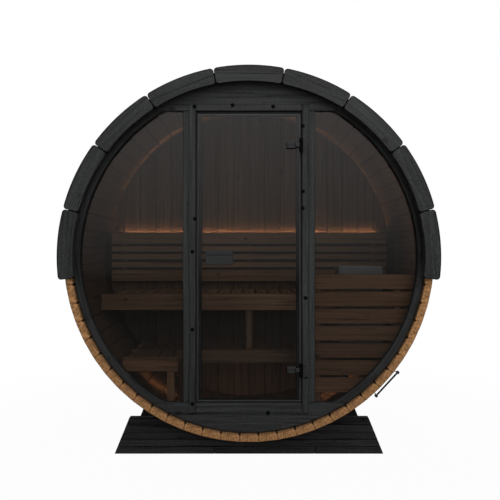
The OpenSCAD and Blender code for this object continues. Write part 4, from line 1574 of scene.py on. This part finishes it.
class SAUNA_OT_stage(bpy.types.Operator):
    """Sets the floor, the light and the camera"""

    bl_idname = "sauna.stage"
    bl_label = "Floor, light and camera"

    def execute(self, context):
        scene = context.scene
        bm = bmesh.new()
        reach, drop = 30.0, -0.0005
        square = ((-reach, -reach), (reach, -reach), (reach, reach), (-reach, reach))
        bm.faces.new([bm.verts.new((x, y, drop)) for x, y in square])
        floor = bpy.data.objects.new("floor", mesh_of("floor", bm, [self.floor()]))
        scene.collection.objects.link(floor)
        self.world(scene)
        for name, place, target, size, power, shiny in LAMPS:
            turn = (Vector(target) - Vector(place)).to_track_quat("-Z", "Y").to_euler()
            self.lamp(name, "DISK", size, power, place, turn).visible_glossy = shiny
        low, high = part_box("backrest_light")
        place = middle("backrest_light") + Vector((0, 0, 0.009))
        self.beam("wall_beam", place, (high.x - low.x, 0.008), spread=7, power=0.64, turn=(189, 0, 0))
        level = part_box("bench_light")[0].z - 0.07
        for name, side, across, deep, power in LOW_BEAMS:
            place = (side * across, middle("bench_light").y + 0.06 - deep / 2, level)
            self.beam(name, place, (0.3, deep), spread=55, power=power, turn=(0, -29 * side, 0))
        self.beam("right_spill", (0.5, -0.24, 1.3), (0.5, 0.2), spread=100, power=0.12, turn=(0, -90, 0))
        camera = bpy.data.objects.new("camera", bpy.data.cameras.new("camera"))
        camera.data.lens = LENS
        camera.data.sensor_width = SENSOR
        camera.location = (CAMERA_X, CAMERA_Y, AXIS_Z + CAMERA_RISE)
        camera.rotation_euler = (math.pi / 2, 0, 0)
        scene.collection.objects.link(camera)
        scene.camera = camera
        scene.view_settings.view_transform = "Standard"
        return {"FINISHED"}

    def floor(self):
        """Pale floor that the camera sees as nearly white, with the object's shadow on it."""
        material, graph, shader, place = new_material("Pale floor")
        gloss = graph.node("ShaderNodeLightPath", out="Is Glossy Ray")
        pale = graph.blend(gloss, (0.36, 0.36, 0.36, 1.0), (0.03, 0.03, 0.03, 1.0))
        feed(graph, shader, Base_Color=pale, Roughness=0.9, Specular_IOR_Level=0.1)
        white = graph.node("ShaderNodeEmission", None, {"Color": (1, 1, 1, 1), "Strength": 1.0})
        seen = graph.node("ShaderNodeLightPath", out="Is Camera Ray")
        flat = graph.node("ShaderNodeVectorMath", {"operation": "LENGTH"}, {0: place}, out="Value")
        share = seen * (0.97 + 0.03 * flat.ease(1.3, 3.5))
        mixed = graph.node(
            "ShaderNodeMixShader", None, {0: share, 1: Wire(graph, shader.outputs["BSDF"]), 2: white}
        )
        out = material.node_tree.nodes["Material Output"]
        graph.tree.links.new(mixed.socket, out.inputs["Surface"])
        return material

    def world(self, scene):
        """An even dome, white where it is seen directly or through glass, and paler upwards in gloss."""
        world = bpy.data.worlds.new("Studio")
        world.use_nodes = True
        graph = Graph(world.node_tree)
        kinds = ("Camera", "Glossy", "Transmission")
        direct, gloss, through = (graph.node("ShaderNodeLightPath", out=f"Is {kind} Ray") for kind in kinds)
        seen = direct.most(gloss).most(through)
        back = world.node_tree.nodes["Background"]
        back.inputs["Color"].default_value = (1, 1, 1, 1)
        height = graph.parts(graph.node("ShaderNodeTexCoord", out="Generated"))[2]
        sky = graph.node(
            "ShaderNodeMapRange", None,
            {"Value": height, "From Min": -0.07, "From Max": 0.2, "To Min": 0.06, "To Max": 1.06},
        )
        strength = 0.33 * (1.0 - seen) + seen * (1.0 - gloss) + gloss * sky
        graph.tree.links.new(strength.socket, back.inputs["Strength"])
        scene.world = world

    def lamp(self, name, shape, size, power, place, turn):
        """An area light of some shape."""
        lamp = bpy.data.objects.new(name, bpy.data.lights.new(name, "AREA"))
        lamp.data.shape = shape
        lamp.data.size = size
        lamp.data.energy = power
        lamp.location = place
        lamp.rotation_euler = turn
        bpy.context.scene.collection.objects.link(lamp)
        return lamp

    def beam(self, name, place, size, spread, power, turn):
        """A narrow beam of the colour of the light strips, with its angles in degrees."""
        lamp = self.lamp(name, "RECTANGLE", size[0], power, place, [math.radians(angle) for angle in turn])
        lamp.data.size_y = size[1]
        lamp.data.spread = math.radians(spread)
        lamp.data.color = bpy.context.scene.sauna_colours.glow
        lamp.visible_camera = False
        lamp.visible_glossy = False


class SAUNA_PT_panel(bpy.types.Panel):
    """Sizes, colours and building steps of the barrel sauna"""

    bl_idname = "SAUNA_PT_panel"
    bl_label = "Barrel sauna"
    bl_space_type = "VIEW_3D"
    bl_region_type = "UI"
    bl_category = "Sauna"

    def draw(self, context):
        for group in (context.scene.sauna_sizes, context.scene.sauna_colours):
            box = self.layout.box()
            for name in group.bl_rna.properties.keys():
                if name not in ("rna_type", "name"):
                    box.prop(group, name)
        for step in STEPS:
            self.layout.operator(step.bl_idname)


STEPS = (
    SAUNA_OT_cradles, SAUNA_OT_staves, SAUNA_OT_hoops, SAUNA_OT_roofing, SAUNA_OT_arches, SAUNA_OT_front_wall,
    SAUNA_OT_door, SAUNA_OT_back_wall, SAUNA_OT_backrest, SAUNA_OT_benches, SAUNA_OT_heater, SAUNA_OT_screws,
    SAUNA_OT_stage,
)
CLASSES = (SaunaSizes, SaunaColours, *STEPS, SAUNA_PT_panel)


def register():
    for cls in CLASSES:
        bpy.utils.register_class(cls)
    bpy.types.Scene.sauna_sizes = PointerProperty(type=SaunaSizes)
    bpy.types.Scene.sauna_colours = PointerProperty(type=SaunaColours)


def unregister():
    del bpy.types.Scene.sauna_colours
    del bpy.types.Scene.sauna_sizes
    for cls in reversed(CLASSES):
        bpy.utils.unregister_class(cls)


def main():
    """Builds every piece."""
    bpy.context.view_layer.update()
    register()
    for step in STEPS:
        group, name = step.bl_idname.split(".")
        getattr(getattr(bpy.ops, group), name)()


if __name__ == "__main__":
    main()
